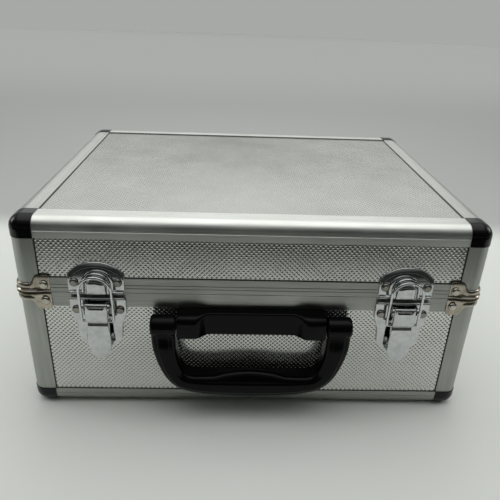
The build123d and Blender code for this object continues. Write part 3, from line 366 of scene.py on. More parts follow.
def facing_areas():
    """Each panel's bare rectangle: node, body, centre, two in-plane directions, outward normal and size."""
    found = []
    for half in ("lid", "base"):
        flange = {side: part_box(half + "_edge_" + side) for side in SIDES}
        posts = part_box(half + "_corner_posts")
        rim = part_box(half + "_rim_left")
        left, right = flange["left"][1].x, flange["right"][0].x
        front, rear = flange["front"][1].y, flange["rear"][0].y
        upper, face = ("top", 1) if half == "lid" else ("bottom", -1)
        node = "%s_%s_panel" % (half, upper)
        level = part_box(node)[1 if half == "lid" else 0].z
        found.append((node, half, Vector(((left + right) / 2, (front + rear) / 2, level)),
                      Vector((1, 0, 0)), Vector((0, 0, face)), right - left, rear - front))
        low, high = (rim[1].z, flange["left"][0].z) if half == "lid" else (flange["left"][1].z, rim[0].z)
        middle, tall = (low + high) / 2, high - low
        for side in SIDES:
            node = "%s_%s_panel" % (half, side)
            near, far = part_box(node)
            if side in ("front", "rear"):
                out = -1 if side == "front" else 1
                level = near.y if side == "front" else far.y
                place = Vector((0, level, middle))
                across, normal = Vector((-out, 0, 0)), Vector((0, out, 0))
                wide = posts[1].x - posts[0].x - 2 * POST_FACE
            else:
                out = -1 if side == "left" else 1
                level = near.x if side == "left" else far.x
                place = Vector((level, (posts[0].y + posts[1].y) / 2, middle))
                across, normal = Vector((0, out, 0)), Vector((out, 0, 0))
                wide = posts[1].y - posts[0].y - 2 * POST_FACE
            found.append((node, half, place, across, normal, wide, tall))
    return found


def painted_shadow_bead(place, across, up, normal, wide, tall):
    """A thin dark bead where a panel meets the frame all round: a painted shadow, standing in for the shade in
    the gap there.
    """
    rings = []
    for sx, sy in ((-1, -1), (1, -1), (1, 1), (-1, 1)):
        corner = place + across * (sx * wide / 2) + up * (sy * tall / 2)
        inwards = -across * sx - up * sy
        rings.append([corner + inwards * (reach * MM) + normal * (lift * MM)
                      for reach, lift in SHADOW_BEAD_SECTION])
    return skin("painted_shadow_bead", rings, closed=True)


def length(name, description, size_mm):
    """A length that a user can change, with its default in mm."""
    return FloatProperty(name=name, description=description, default=size_mm * MM,
                         subtype="DISTANCE", unit="LENGTH")


def tint(name, description, code):
    """A colour that a user can change, with its default as an sRGB hex code."""
    return FloatVectorProperty(name=name, description=description, default=linear(code)[:3],
                               subtype="COLOR", size=3, min=0.0, max=1.0)


class CaseSettings(bpy.types.PropertyGroup):
    """Sizes of the embossed pattern, and colours, that a user would change."""
    pitch_across: length("Pitch across", "Diamond spacing along a row", 3.38)
    pitch_up: length("Pitch up", "Spacing of the rows of one grid", 3.33)
    diamond_radius: length("Diamond radius", "Half of a diamond's diagonal", 1.16)
    diamond_height: length("Diamond height", "How far a diamond stands out", 0.30)
    sheet_colour: tint("Sheet", "Colour of the embossed panels", "dedfdb")
    cap_colour: tint("Caps", "Colour of the corner caps", "070708")
    handle_colour: tint("Handle", "Colour of the handle and its bracket", "040405")
    lining_colour: tint("Lining", "Colour of the felt and the floor pad", "08080a")
    foam_colour: tint("Foam", "Colour of the lid foam", "0d0d0f")
    thread_colour: tint("Thread", "Colour of the stitches", "3a3a3d")


class CASE_OT_emboss(bpy.types.Operator):
    """Adds the raised diamonds to every panel facing"""
    bl_idname = "attache.emboss"
    bl_label = "Emboss panels"

    def execute(self, context):
        sizes = context.scene.attache_case
        tree = embossing_tree()
        shadow_beads = {"lid": [], "base": []}
        for node, body, place, across, normal, wide, tall in facing_areas():
            # the lid's top panel gets the darker copy of the sheet, painted shade
            finish = "sheet_top_painted_shade" if node == "lid_top_panel" else "sheet"
            dress(node, finish)
            up = normal.cross(across)
            shadow_beads[body].append(painted_shadow_bead(place, across, up, normal, wide, tall))
            mesh = grown_by_nodes(node + "_diamonds", tree, **{
                "Width": wide + 2 * MM, "Height": tall + 1 * MM,
                "Pitch Across": sizes.pitch_across, "Pitch Up": sizes.pitch_up,
                "Diamond Radius": sizes.diamond_radius, "Diamond Height": sizes.diamond_height,
                "Finish": FINISHES[finish]})
            turn = Matrix((across, up, normal)).transposed().to_4x4()
            mesh.transform(Matrix.Translation(place) @ turn)
            piece_from(node + "_diamonds", mesh, body)
        # the painted shadow beads round each half's panels, as one piece
        for body, beads in shadow_beads.items():
            name = body + "_painted_shadow_beads"
            piece_from(name, joined(name, beads), body, "seam")
        return {"FINISHED"}


class CASE_OT_finish_metal(bpy.types.Operator):
    """Gives the frame, corners, rivets, wires and pins their finishes"""
    bl_idname = "attache.finish_metal"
    bl_label = "Finish frame and hardware"

    def execute(self, context):
        for half in ("lid", "base"):
            for side in SIDES:
                along = "x" if side in ("front", "rear") else "y"
                # the lid's edges get the lighter copies of the aluminium, the base's edges and all rims the
                # darker ones: painted light and painted shade
                dress("%s_edge_%s" % (half, side), ("extrusion_" if half == "lid" else "rim_") + along)
                dress("%s_rim_%s" % (half, side), "rim_" + along)
            # the corner posts get a darker copy of the aluminium: painted shade
            dress(half + "_corner_posts", "extrusion_z")
            dress(half + "_corner_caps", "cap")
            dress(half + "_bracket_rivets", "rivet")
            dress("hinge_%s_leaves" % half, "nickel")
            dress("hinge_%s_rivets" % half, "rivet")
        for node in ("latch_bail_left", "latch_bail_right"):
            dress(node, "wire")
        # the latch rivets get the darker copy of the rivets' nickel, painted shade
        for node in ("latch_catch_rivets", "latch_plate_rivets"):
            dress(node, "latch_rivet")
        for node in ("latch_pivot_pins", "hinge_pins", "handle_bracket_screws"):
            dress(node, "steel")
        dress("handle_pivot_pins", "handle")
        return {"FINISHED"}


# ---- shapes ------------------------------------------------------------------------------
def mesh_of(shape, name, closed=True):
    """A mesh from a bmesh. A closed one has its doubles merged and its faces turned outwards."""
    if closed:
        bmesh.ops.remove_doubles(shape, verts=shape.verts, dist=0.001 * MM)
        bmesh.ops.recalc_face_normals(shape, faces=shape.faces)
    mesh = bpy.data.meshes.new(name)
    shape.to_mesh(mesh)
    shape.free()
    return mesh


def skin(name, rings, closed=False):
    """A closed surface over rings of points, capped at both ends unless the rings close on themselves."""
    shape = bmesh.new()
    rows = [[shape.verts.new(point) for point in ring] for ring in rings]
    count = len(rows[0])
    pairs = list(zip(rows, rows[1:]))
    if closed:
        pairs.append((rows[-1], rows[0]))
    for near, far in pairs:
        for i in range(count):
            j = (i + 1) % count
            shape.faces.new((near[i], near[j], far[j], far[i]))
    if not closed:
        shape.faces.new(rows[0])
        shape.faces.new(rows[-1][::-1])
    return mesh_of(shape, name)


def joined(name, meshes):
    """Several meshes as one."""
    shape = bmesh.new()
    for mesh in meshes:
        shape.from_mesh(mesh)
        bpy.data.meshes.remove(mesh)
    return mesh_of(shape, name, closed=False)


def holder_of(mesh):
    """A scratch object for a mesh, so that modifiers can work on it."""
    return placed(mesh.name + "_work", mesh)


def cut(mesh, tools):
    """The mesh with each of the tool meshes cut away."""
    holder = holder_of(mesh)
    cutters = [holder_of(tool) for tool in tools]
    for cutter in cutters:
        modifier = holder.modifiers.new("cut", "BOOLEAN")
        modifier.operation, modifier.solver, modifier.object = "DIFFERENCE", "EXACT", cutter
    result = baked(holder)
    for cutter in cutters:
        bpy.data.objects.remove(cutter)
    return result


def moulded(mesh, voxel, passes):
    """The mesh remade as one skin of small even faces and smoothed, as a moulding with blended corners."""
    holder = holder_of(mesh)
    remesh = holder.modifiers.new("one_skin", "REMESH")
    remesh.mode, remesh.voxel_size = "VOXEL", voxel
    relax = holder.modifiers.new("relax", "SMOOTH")
    relax.factor, relax.iterations = 0.5, passes
    return baked(holder)


def arc(centre, radius, start, end, steps):
    """Points on an arc between two angles in degrees."""
    angles = [math.radians(start + (end - start) * i / steps) for i in range(steps + 1)]
    return [(centre[0] + radius * math.cos(a), centre[1] + radius * math.sin(a)) for a in angles]


def rounded_outline(corners, radius, steps=5):
    """A closed outline with each corner of a convex polygon, listed anticlockwise, rounded."""
    outline = []
    for i, corner in enumerate(corners):
        here = Vector(corner)
        before, after = Vector(corners[i - 1]), Vector(corners[(i + 1) % len(corners)])
        back, ahead = (before - here).normalized(), (after - here).normalized()
        half = back.angle(ahead) / 2
        reach = min(radius / math.tan(half), (before - here).length * 0.48, (after - here).length * 0.48)
        true_radius = reach * math.tan(half)
        middle = here + (back + ahead).normalized() * (true_radius / math.sin(half))
        first, last = here + back * reach - middle, here + ahead * reach - middle
        turn = math.atan2(first.x * last.y - first.y * last.x, first.dot(last))
        for k in range(steps + 1):
            angle = turn * k / steps
            spoke = Vector((first.x * math.cos(angle) - first.y * math.sin(angle),
                            first.x * math.sin(angle) + first.y * math.cos(angle)))
            outline.append(tuple(middle + spoke))
    return outline


def inset(outline, distances):
    """An anticlockwise outline moved inwards, by a distance for each of its points."""
    moved = []
    count = len(outline)
    for i, point in enumerate(outline):
        before, after = Vector(outline[i - 1]), Vector(outline[(i + 1) % count])
        along = (after - before).normalized()
        inward = Vector((-along.y, along.x))
        moved.append(tuple(Vector(point) + inward * distances[i]))
    return moved


def resampled(points, steps):
    """A smooth run of points through a few, by the Catmull-Rom rule."""
    ends = [points[0], *points, points[-1]]
    run = []
    for a, b, c, d in zip(ends, ends[1:], ends[2:], ends[3:]):
        for k in range(steps):
            t = k / steps
            run.append(tuple(0.5 * (2 * q + (r - p) * t + (2 * p - 5 * q + 4 * r - s) * t ** 2
                                    + (3 * q - p - 3 * r + s) * t ** 3)
                             for p, q, r, s in zip(a, b, c, d)))
    run.append(tuple(points[-1]))
    return run


def smooth_step(value, start, end):
    """0 before start, 1 after end, and a soft S between."""
    t = min(max((value - start) / (end - start), 0.0), 1.0)
    return t * t * (3 - 2 * t)


def front_point(across, proud, height):
    """A point by its place across the case, its distance out of the front face and its height, in mm."""
    return Vector((across * MM, FRONT_Y - proud * MM, height * MM))


# ---- handle ------------------------------------------------------------------------------
HANDLE_AXIS = (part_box("handle_pivot_pins")[0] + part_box("handle_pivot_pins")[1]) / 2
AXIS_Z, AXIS_PROUD = HANDLE_AXIS.z / MM, (FRONT_Y - HANDLE_AXIS.y) / MM
GRIP_HALF_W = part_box("handle_grip")[1].x / MM
LOBE_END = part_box("handle_bracket")[1].x / MM
# the grip's outer and inner edges in mm: across, and height from the pivot axis, from a knuckle to the middle
GRIP_OUTER = ((71.3, -3.0), (70.9, -11.0), (69.3, -21.0), (65.9, -32.5), (60.8, -43.0),
              (53.2, -50.8), (42.0, -55.0), (28.0, -57.2), (14.0, -58.1), (0.0, -58.4))
GRIP_INNER = ((54.1, -3.0), (53.7, -12.0), (52.9, -21.5), (51.0, -30.5), (48.2, -37.2),
              (43.8, -40.1), (36.0, -40.5), (25.0, -40.5), (12.5, -40.5), (0.0, -40.5))
GRIP_BACK, GRIP_FRONT, GRIP_CROWN = 1.7, 17.3, 0.9
GRIP_ROUND = (2.2, 4.2)                              # corner radii at the back and at the front
SADDLE_HALF_W, SADDLE_RISE, SADDLE_PROUD, SADDLE_DEPTH = 30.0, 3.6, 10.5, 6.0
GRIP_VOXEL, GRIP_PASSES = 0.55 * MM, 4               # fineness of the moulded skin, and rounds of smoothing
KNUCKLE_STEP = 2.2                                   # the arms are this much thinner under the knuckles
KNUCKLE_BLEND = (3.0, 18.0)                          # and reach their full depth between these drops
KNUCKLE_CHAMFER = 0.7
# a knuckle's rounded outer end: distance in from its end, and how far under its full radius
KNUCKLE_END = ((2.2, 0.0), (1.2, 0.3), (0.4, 1.1), (0.0, 2.4))
KNUCKLE_IN, KNUCKLE_R, KNUCKLE_BORE, KNUCKLE_BORE_END = 53.8, 7.85, 3.1, 66.3
BRACKET_LOW, BRACKET_HIGH, BRACKET_BACK = -9.3, 8.8, -1.1
LOBE_IN, LOBE_SHOULDER, LOBE_PROUD, MIDDLE_PROUD = 40.5, 30.0, 14.1, 6.6
MIDDLE_ROUND, TOP_GROWTH, LOW_GROWTH = 1.3, 4.2, 1.7         # corner radius, and what a lobe adds to it
BRACKET_ENDS = ((0.0, 0.8), (0.3, 0.25), (0.9, 0.0))         # in from the end, and how far the section shrinks
SHOULDER_STEPS = 14


def grip_section(width, face):
    """One section of the grip: how far in from its outer edge, and how far out of the case."""
    back_r, front_r = GRIP_ROUND
    steps = 5
    section = arc((back_r, GRIP_BACK + back_r), back_r, 270, 180, steps)
    section += arc((front_r, face - front_r), front_r, 180, 90, steps)
    for share in (0.3, 0.5, 0.7):
        section.append((width * share, face + GRIP_CROWN * math.sin(math.pi * share)))
    section += arc((width - front_r, face - front_r), front_r, 90, 0, steps)
    for share in (0.2, 0.4, 0.6, 0.8):
        section.append((width, face - front_r - share * (face - front_r - GRIP_BACK - back_r)))
    return section + arc((width - back_r, GRIP_BACK + back_r), back_r, 0, -90, steps)


def grip_ring(outer, inner):
    """The grip's section between two edge points, with the finger saddle raised on the middle of the bar."""
    start, end = Vector(outer), Vector(inner)
    width = (end - start).length
    along = (end - start).normalized()
    lift = SADDLE_RISE * max(0.0, 1 - (start.x / SADDLE_HALF_W) ** 2)
    face = GRIP_FRONT - KNUCKLE_STEP * (1 - smooth_step(-start.y, *KNUCKLE_BLEND))
    ring = []
    for reach, proud in grip_section(width, face):
        hump = max(0.0, 1 - ((proud - SADDLE_PROUD) / SADDLE_DEPTH) ** 2)
        place = start + along * (reach + lift * hump * smooth_step(reach, width * 0.6, width))
        ring.append(front_point(place.x, proud, AXIS_Z + place.y))
    return ring


def turned_x(name, profile, centre_proud, centre_z, steps=40):
    """A profile of (x, radius) points turned about an axis along X; it starts and ends on the axis."""
    shape = bmesh.new()
    rows = []
    for x, radius in profile:
        spokes = steps if radius > 0 else 1
        rows.append([shape.verts.new(front_point(x, centre_proud + radius * math.cos(2 * math.pi * k / steps),
                                                 centre_z + radius * math.sin(2 * math.pi * k / steps)))
                     for k in range(spokes)])
    for near, far in zip(rows, rows[1:]):
        for k in range(steps):
            j = (k + 1) % steps
            corners = [near[k % len(near)], near[j % len(near)], far[j % len(far)], far[k % len(far)]]
            shape.faces.new([c for i, c in enumerate(corners) if c not in corners[:i]])
    return mesh_of(shape, name)


def knuckle(side):
    """A knuckle at the top of an arm, bored for its pin and rounded at its outer end."""
    profile = [(KNUCKLE_BORE_END, 0), (KNUCKLE_BORE_END, KNUCKLE_BORE), (KNUCKLE_IN, KNUCKLE_BORE),
               (KNUCKLE_IN, KNUCKLE_R - KNUCKLE_CHAMFER), (KNUCKLE_IN + KNUCKLE_CHAMFER, KNUCKLE_R)]
    profile += [(GRIP_HALF_W - back, KNUCKLE_R - under) for back, under in KNUCKLE_END]
    profile.append((GRIP_HALF_W, 0))
    return turned_x("knuckle", [(side * x, r) for x, r in profile], AXIS_PROUD, AXIS_Z)


def bracket_ring(x, shrink=0.0):
    """The handle bracket's section at one place across."""
    deep = 1 - smooth_step(LOBE_IN - abs(x), 0.0, LOBE_IN - LOBE_SHOULDER)
    proud = MIDDLE_PROUD + (LOBE_PROUD - MIDDLE_PROUD) * deep - shrink
    top_r, low_r = MIDDLE_ROUND + TOP_GROWTH * deep, MIDDLE_ROUND + LOW_GROWTH * deep
    low, high = BRACKET_LOW + shrink, BRACKET_HIGH - shrink
    section = [(BRACKET_BACK, low)]
    section += arc((proud - low_r, low + low_r), low_r, 270, 360, 6)
    section += arc((proud - top_r, high - top_r), top_r, 0, 90, 10)
    section.append((BRACKET_BACK, high))
    return [front_point(x, out, AXIS_Z + height) for out, height in section]


class CASE_OT_handle(bpy.types.Operator):
    """Moulds the handle's bracket and its grip with the finger saddle"""
    bl_idname = "attache.handle"
    bl_label = "Mould handle"

    def execute(self, context):
        outer, inner = resampled(GRIP_OUTER, 6), resampled(GRIP_INNER, 6)
        half = [grip_ring(a, b) for a, b in zip(outer, inner)]
        other = [[Vector((-p.x, p.y, p.z)) for p in ring] for ring in half[-2::-1]]
        bar = skin("grip_bar", half + other)
        mesh = moulded(joined("handle_grip_moulded", [bar, knuckle(1), knuckle(-1)]), GRIP_VOXEL, GRIP_PASSES)
        mesh.shade_smooth()
        grip = piece_from("handle_grip_moulded", mesh, "handle", "handle")
        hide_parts("handle_grip")

        ends = [(LOBE_END - back, shrink) for back, shrink in BRACKET_ENDS]
        curve = [(LOBE_IN - (LOBE_IN - LOBE_SHOULDER) * k / SHOULDER_STEPS, 0.0)
                 for k in range(SHOULDER_STEPS + 1)]
        half = [bracket_ring(x, s) for x, s in ends + curve]
        other = [[Vector((-p.x, p.y, p.z)) for p in ring] for ring in half[::-1]]
        bracket = piece_from("handle_bracket_moulded", skin("handle_bracket_moulded", half + other),
                             "base", "handle", smooth=32)
        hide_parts("handle_bracket")
        return {"FINISHED"}


# ---- draw latches ------------------------------------------------------------------------
SPLIT_Z = (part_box("lid_corner_brackets")[0].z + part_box("base_corner_brackets")[1].z) / 2 / MM
PIVOT = (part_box("latch_pivot_pins")[0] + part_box("latch_pivot_pins")[1]) / 2
PIVOT_Z, PIVOT_PROUD = PIVOT.z / MM, (FRONT_Y - PIVOT.y) / MM
SHEET_PROUD, SHEET_BACK = 1.2, -1.1                  # the latch sheet's face, and its back in the recess
CATCH_HALF_W, CATCH_LOW, CATCH_SIDE, CATCH_APEX = 19.4, 0.6, 14.6, 23.8
# a plate's edge where it rolls back to the panel: distance in from the outline, and how far out of the case
ROLLED_EDGE = ((0.0, -0.95), (0.15, -0.7), (0.5, -0.4), (1.2, 0.05),
               (2.0, 0.55), (2.7, 0.93), (3.3, 1.14), (3.9, 1.2))
ROLL_BLEND = 5.0                                     # height over which the edge goes from broken to rolled
FLAT_PLATE = 1e3                                     # a height above every plate, so that no edge is rolled
BROKEN_DROP, BROKEN_REACH = 0.35, 1.2                # how far a broken edge falls, and over what distance
CRISP_EDGE = 0.3                                     # share of those distances where the edge is only broken
HOOK_RISE = 6.3                                      # centre of the hook's round above the split
# the hook's section: radius, proud of the case, and share of the slope of the nose
HOOK_SECTION = ((10.4, 1.0, 0.0), (10.35, 1.7, 0.0), (10.2, 2.3, 0.0), (9.95, 2.65, 0.0), (9.4, 2.95, 0.0),
                (8.8, 3.2, 0.0), (8.2, 3.45, 0.0), (7.85, 3.5, 0.0), (7.7, 3.25, 0.0), (7.6, 2.95, 0.1),
                (7.5, 3.4, 0.3), (7.35, 4.1, 0.6), (6.95, 4.75, 0.9), (6.3, 5.3, 1.0), (5.4, 5.7, 1.0),
                (4.3, 5.95, 1.0), (3.0, 6.05, 1.0))
HOOK_LOW, NOSE_LOW, NOSE_SLOPE = 1.2, 0.6, -1.3
PLATE_OUTLINE = ((19.7, -3.5), (19.7, -16.0), (16.3, -26.0), (15.1, -38.9), (8.0, -44.2))
SLOT = (7.4, 10.2, -40.2, -33.0)                     # near and far side, low and high end
BEAD_R, BEAD_PROUD = 1.0, 2.2
EAR_IN, EAR_OUT, EAR_R = 8.25, 9.1, 2.8
LEVER_T = 0.9
# the lever from its top edge to the tip of its tab, in mm: height from the split, half width, front of the
# face, back of the walls, and bend radius
LEVER_STATIONS = (
    (-5.0, 7.3, 7.2, 5.2, 0.5), (-5.15, 7.7, 7.9, 4.2, 0.8),
    (-5.6, 7.9, 8.4, 3.4, 1.2), (-6.3, 7.9, 8.6, 3.0, 1.3),
    (-12.0, 7.9, 8.6, 2.8, 1.3), (-18.2, 7.9, 8.6, 2.8, 1.3), (-18.9, 7.85, 8.5, 2.8, 1.2),
    (-19.3, 7.6, 8.1, 2.8, 1.0), (-19.7, 7.3, 7.3, 2.8, 0.9), (-20.2, 7.1, 6.7, 2.8, 0.8),
    (-20.9, 7.0, 6.6, 2.9, 0.8), (-21.4, 7.05, 7.0, 3.0, 0.8), (-21.9, 7.2, 7.35, 3.1, 0.7),
    (-24.0, 7.4, 7.45, 3.4, 0.6), (-26.6, 7.7, 7.45, 5.0, 0.5), (-28.0, 7.9, 7.45, 6.5, 0.45),
    (-30.0, 8.1, 7.45, 6.55, 0.45), (-36.0, 8.25, 7.35, 6.45, 0.45), (-41.0, 8.15, 7.35, 6.45, 0.45),
    (-44.0, 7.7, 7.45, 6.55, 0.45), (-46.6, 6.6, 7.6, 6.7, 0.45), (-48.8, 4.9, 7.75, 6.85, 0.45),
    (-50.1, 3.1, 7.85, 6.95, 0.45), (-50.75, 1.4, 7.9, 7.0, 0.45),
)
MOUTH = ((-6.7, -6.3), (6.7, -6.3), (5.0, -9.3), (-5.0, -9.3))


def outline_at(outline, prouds, centre):
    """An outline as a ring of points on the front of the case, each as far out as prouds says."""
    return [front_point(centre + x, proud, SPLIT_Z + z) for (x, z), proud in zip(outline, prouds)]


def pressed_plate(name, outline, centre, rolled_from=FLAT_PLATE):
    """A pressed plate whose edge is broken, and rolled back to the panel above a height."""
    weight = [smooth_step(z, rolled_from, rolled_from + ROLL_BLEND) for x, z in outline]
    rings = [outline_at(outline, [SHEET_BACK] * len(outline), centre)]
    for distance, proud in ROLLED_EDGE:
        moved = inset(outline, [distance * (w + (1 - w) * CRISP_EDGE) for w in weight])
        crisp = SHEET_PROUD - BROKEN_DROP * max(0.0, 1 - distance / BROKEN_REACH) ** 2
        rings.append(outline_at(moved, [crisp * (1 - w) + proud * w for w in weight], centre))
    return skin(name, rings)


def bead(centre, reach, height):
    """A turned edge along X, with rounded ends."""
    profile = [(-reach, 0.0), (-reach + 0.2, BEAD_R * 0.6), (-reach + 0.7, BEAD_R), (reach - 0.7, BEAD_R),
               (reach - 0.2, BEAD_R * 0.6), (reach, 0.0)]
    return turned_x("bead", [(centre + x, r) for x, r in profile], BEAD_PROUD, SPLIT_Z + height, 16)


def catch_outline():
    """The catch plate's outline, anticlockwise, with an arched top."""
    rise = CATCH_APEX - CATCH_SIDE
    radius = (CATCH_HALF_W ** 2 + rise ** 2) / (2 * rise)
    half_angle = math.degrees(math.asin(CATCH_HALF_W / radius))
    steps = 40
    arch = arc((0, CATCH_APEX - radius), radius, 90 - half_angle, 90 + half_angle, steps)[2:-2]
    corners = [(-CATCH_HALF_W, CATCH_LOW), (CATCH_HALF_W, CATCH_LOW)]
    left = arc((corners[0][0] + 2, corners[0][1] + 2), 2, 180, 270, 5)
    right = arc((corners[1][0] - 2, corners[1][1] + 2), 2, 270, 360, 5)
    sides = [CATCH_LOW + 2 + (CATCH_SIDE - CATCH_LOW - 2) * k / 6 for k in range(1, 7)]
    return (left + right + [(CATCH_HALF_W, z) for z in sides] + arch
            + [(-CATCH_HALF_W, z) for z in reversed(sides)])


def latch_catch(centre):
    """The catch: a plate with its arched edge rolled back, a stepped round hook and a turned lower edge."""
    plate = pressed_plate("catch", catch_outline(), centre, rolled_from=11.5)
    rings = []
    for radius, proud, share in HOOK_SECTION:
        low = HOOK_LOW + (NOSE_LOW - HOOK_LOW) * share + (HOOK_SECTION[0][0] - radius) * 0.1
        outline = arc((0, HOOK_RISE), radius, 0, 180, 24)
        outline += [(-radius, low + (HOOK_RISE - low) * k / 4) for k in (3, 2, 1, 0)]
        outline += [(radius, low + (HOOK_RISE - low) * k / 4) for k in (0, 1, 2, 3)]
        tall = HOOK_RISE + radius - low
        prouds = [proud + NOSE_SLOPE * share * (HOOK_RISE + radius - z) / tall for x, z in outline]
        rings.append(outline_at(outline, prouds, centre))
    return joined("catch", [plate, skin("hook", rings), bead(centre, CATCH_HALF_W - 0.3, CATCH_LOW + 0.7)])


def slot_tool(centre, side):
    """A rounded slot right through the base plate."""
    near, far, low, high = SLOT
    corners = [(side * near, low), (side * far, low), (side * far, high), (side * near, high)]
    outline = rounded_outline(corners if side > 0 else corners[::-1], 1.0)
    return skin("slot", [outline_at(outline, [proud] * len(outline), centre) for proud in (-3.0, 3.0)])


def ear(centre, side):
    """A pivot ear that stands out of the base plate."""
    reach = PIVOT_PROUD - SHEET_PROUD + 0.5
    foot = PIVOT_PROUD - reach
    profile = [(foot, -EAR_R), *arc((PIVOT_PROUD, 0), EAR_R, -90, 90, 12), (foot, EAR_R)]
    return skin("ear", [[front_point(centre + side * x, proud, PIVOT_Z + z) for proud, z in profile]
                        for x in (EAR_IN, EAR_OUT)])


def latch_plate(centre):
    """The base plate: a tapered plate with two slots, a turned top edge and the lever's pivot ears."""
    corners = list(PLATE_OUTLINE) + [(-x, z) for x, z in reversed(PLATE_OUTLINE)]
    outline = rounded_outline(corners[::-1], 2.2)
    plate = cut(pressed_plate("plate", outline, centre), [slot_tool(centre, side) for side in (-1, 1)])
    extras = [ear(centre, side) for side in (-1, 1)]
    half_width, top = PLATE_OUTLINE[0]
    return joined("plate", [plate, *extras, bead(centre, half_width - 0.4, top - 0.3)])


def lever_ring(centre, station):
    """The lever's folded section at one height."""
    height, half, front, back, bend = station
    inner_bend = max(bend - LEVER_T, 0.08)
    outer = [(-half, back), (-half, front - bend)]
    outer += arc((-half + bend, front - bend), bend, 180, 90, 5)[1:]
    outer += [(0.0, front + 0.06)] + [(-x, p) for x, p in reversed(outer)]
    wall = min(LEVER_T, half * 0.5)
    low_front = front - LEVER_T
    inside = [(-half + wall, back), (-half + wall, max(low_front - inner_bend, back))]
    inside += [(-half + wall + inner_bend, max(low_front, back)), (0.0, max(low_front, back))]
    inside += [(-x, p) for x, p in reversed(inside[:-1])]
    ring = outer + inside[::-1]
    return [front_point(centre + x, proud, SPLIT_Z + height) for x, proud in ring]


def latch_lever(centre):
    """The lever: a folded channel with a mouth near its top, a pressed step and a flat rounded tab."""
    rings = [lever_ring(centre, station) for station in LEVER_STATIONS]
    outline = rounded_outline(MOUTH[::-1], 0.7)
    mouth = skin("mouth", [outline_at(outline, [proud] * len(outline), centre) for proud in (5.0, 10.0)])
    return cut(skin("lever", rings), [mouth])


class CASE_OT_latches(bpy.types.Operator):
    """Presses the catch, base plate and lever of both draw latches"""
    bl_idname = "attache.latches"
    bl_label = "Press latches"

    def execute(self, context):
        for side in ("left", "right"):
            low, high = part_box("latch_plate_" + side)
            centre = (low.x + high.x) / 2 / MM
            for part, body, make in (("catch", "lid", latch_catch), ("plate", "base", latch_plate),
                                     ("lever", "latch_lever_" + side, latch_lever)):
                node = "latch_%s_%s" % (part, side)
                piece = piece_from(node + "_pressed", make(centre), body, "chrome", smooth=38)
                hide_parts(node)
        return {"FINISHED"}


# ---- corner brackets ---------------------------------------------------------------------
BRACKET_REACH, BRACKET_ROLL, BRACKET_T = 24.0, 8.7, 0.9
BRACKET_EDGE, BRACKET_BAND, BRACKET_PAD = 0.7, 6.9, 13.5     # edge, band and pad heights from the split
PAD_LENGTH, PAD_SLOPE = 9.6, 4.4
BRACKET_CORNER = 2.0                                 # radius of the outline's corner at a leg's end
# the rolled edge: what it stands out everywhere, what it gains towards the corner and where, and its height
LIP_LEAST, LIP_GAIN, LIP_GROWS, LIP_TALL = 0.15, 1.0, (3.0, 10.0), 2.3
SWELL_PROUD, SWELL_GROWS = 0.7, (10.0, 15.0)         # how far the band swells, and where along the leg


def bracket_path():
    """Points round a corner's outside, from one leg's end to the other: place, way out, length along."""
    straight = BRACKET_REACH - BRACKET_ROLL
    spots = [0.0, 0.25, 0.7, 1.3, 2.0, 3.5, 6.0, 8.5, 9.6, 10.7, 12.0, 13.2, 14.0, straight]
    path = [((s - BRACKET_REACH, 0.0), (0.0, -1.0), s) for s in spots]
    for k in range(1, 12):
        angle = math.radians(-90 + 90 * k / 12)
        out = (math.cos(angle), math.sin(angle))
        centre = (-BRACKET_ROLL, BRACKET_ROLL)
        place = (centre[0] + BRACKET_ROLL * out[0], centre[1] + BRACKET_ROLL * out[1])
        path.append((place, out, straight + math.pi / 2 * BRACKET_ROLL * k / 12))
    total = 2 * straight + math.pi / 2 * BRACKET_ROLL
    return path + [((0.0, BRACKET_REACH - s), (1.0, 0.0), total - s) for s in reversed(spots)], total


def bracket_top(along):
    """Height of the bracket's outline at a distance from the nearer leg's end."""
    end_round = min(along, BRACKET_CORNER)
    corner = BRACKET_CORNER - math.sqrt(max(BRACKET_CORNER ** 2 - (BRACKET_CORNER - end_round) ** 2, 0.0))
    fall = (BRACKET_PAD - BRACKET_BAND) * smooth_step(along, PAD_LENGTH - 0.8, PAD_LENGTH + PAD_SLOPE)
    return BRACKET_PAD - corner - fall


def corner_bracket(corner_x, corner_y, side_x, side_y, away):
    """A pressed bracket round one corner, with its edge at the split rolled out and a swelled band."""
    path, total = bracket_path()
    rings = []
    for place, out, along in path:
        near = min(along, total - along)
        top = bracket_top(near)
        round_in = smooth_step(near, 0.0, 1.0)
        lip = LIP_GAIN * smooth_step(near, *LIP_GROWS) + LIP_LEAST
        swell = SWELL_PROUD * smooth_step(near, *SWELL_GROWS)
        face = BRACKET_T * (0.35 + 0.65 * round_in)
        section = [(-0.05, BRACKET_EDGE), (face + lip - 0.2, BRACKET_EDGE), (face + lip, BRACKET_EDGE + 0.35),
                   (face + lip, BRACKET_EDGE + 0.8), (face + lip * 0.6, BRACKET_EDGE + 1.3),
                   (face + lip * 0.15, BRACKET_EDGE + 1.8), (face, BRACKET_EDGE + LIP_TALL)]
        span = top - BRACKET_EDGE - LIP_TALL
        section += [(face + swell * math.sin(math.pi * share), BRACKET_EDGE + LIP_TALL + span * share)
                    for share in (0.15, 0.35, 0.55, 0.75, 0.9)]
        section += [(face * 0.85, top - 0.12), (face * 0.45, top), (-0.05, top)]
        rings.append([Vector(((corner_x + side_x * (place[0] + out[0] * p)) * MM,
                              (corner_y - side_y * -(place[1] + out[1] * p)) * MM,
                              (SPLIT_Z + away * z) * MM)) for p, z in section])
    return skin("corner_bracket", rings)


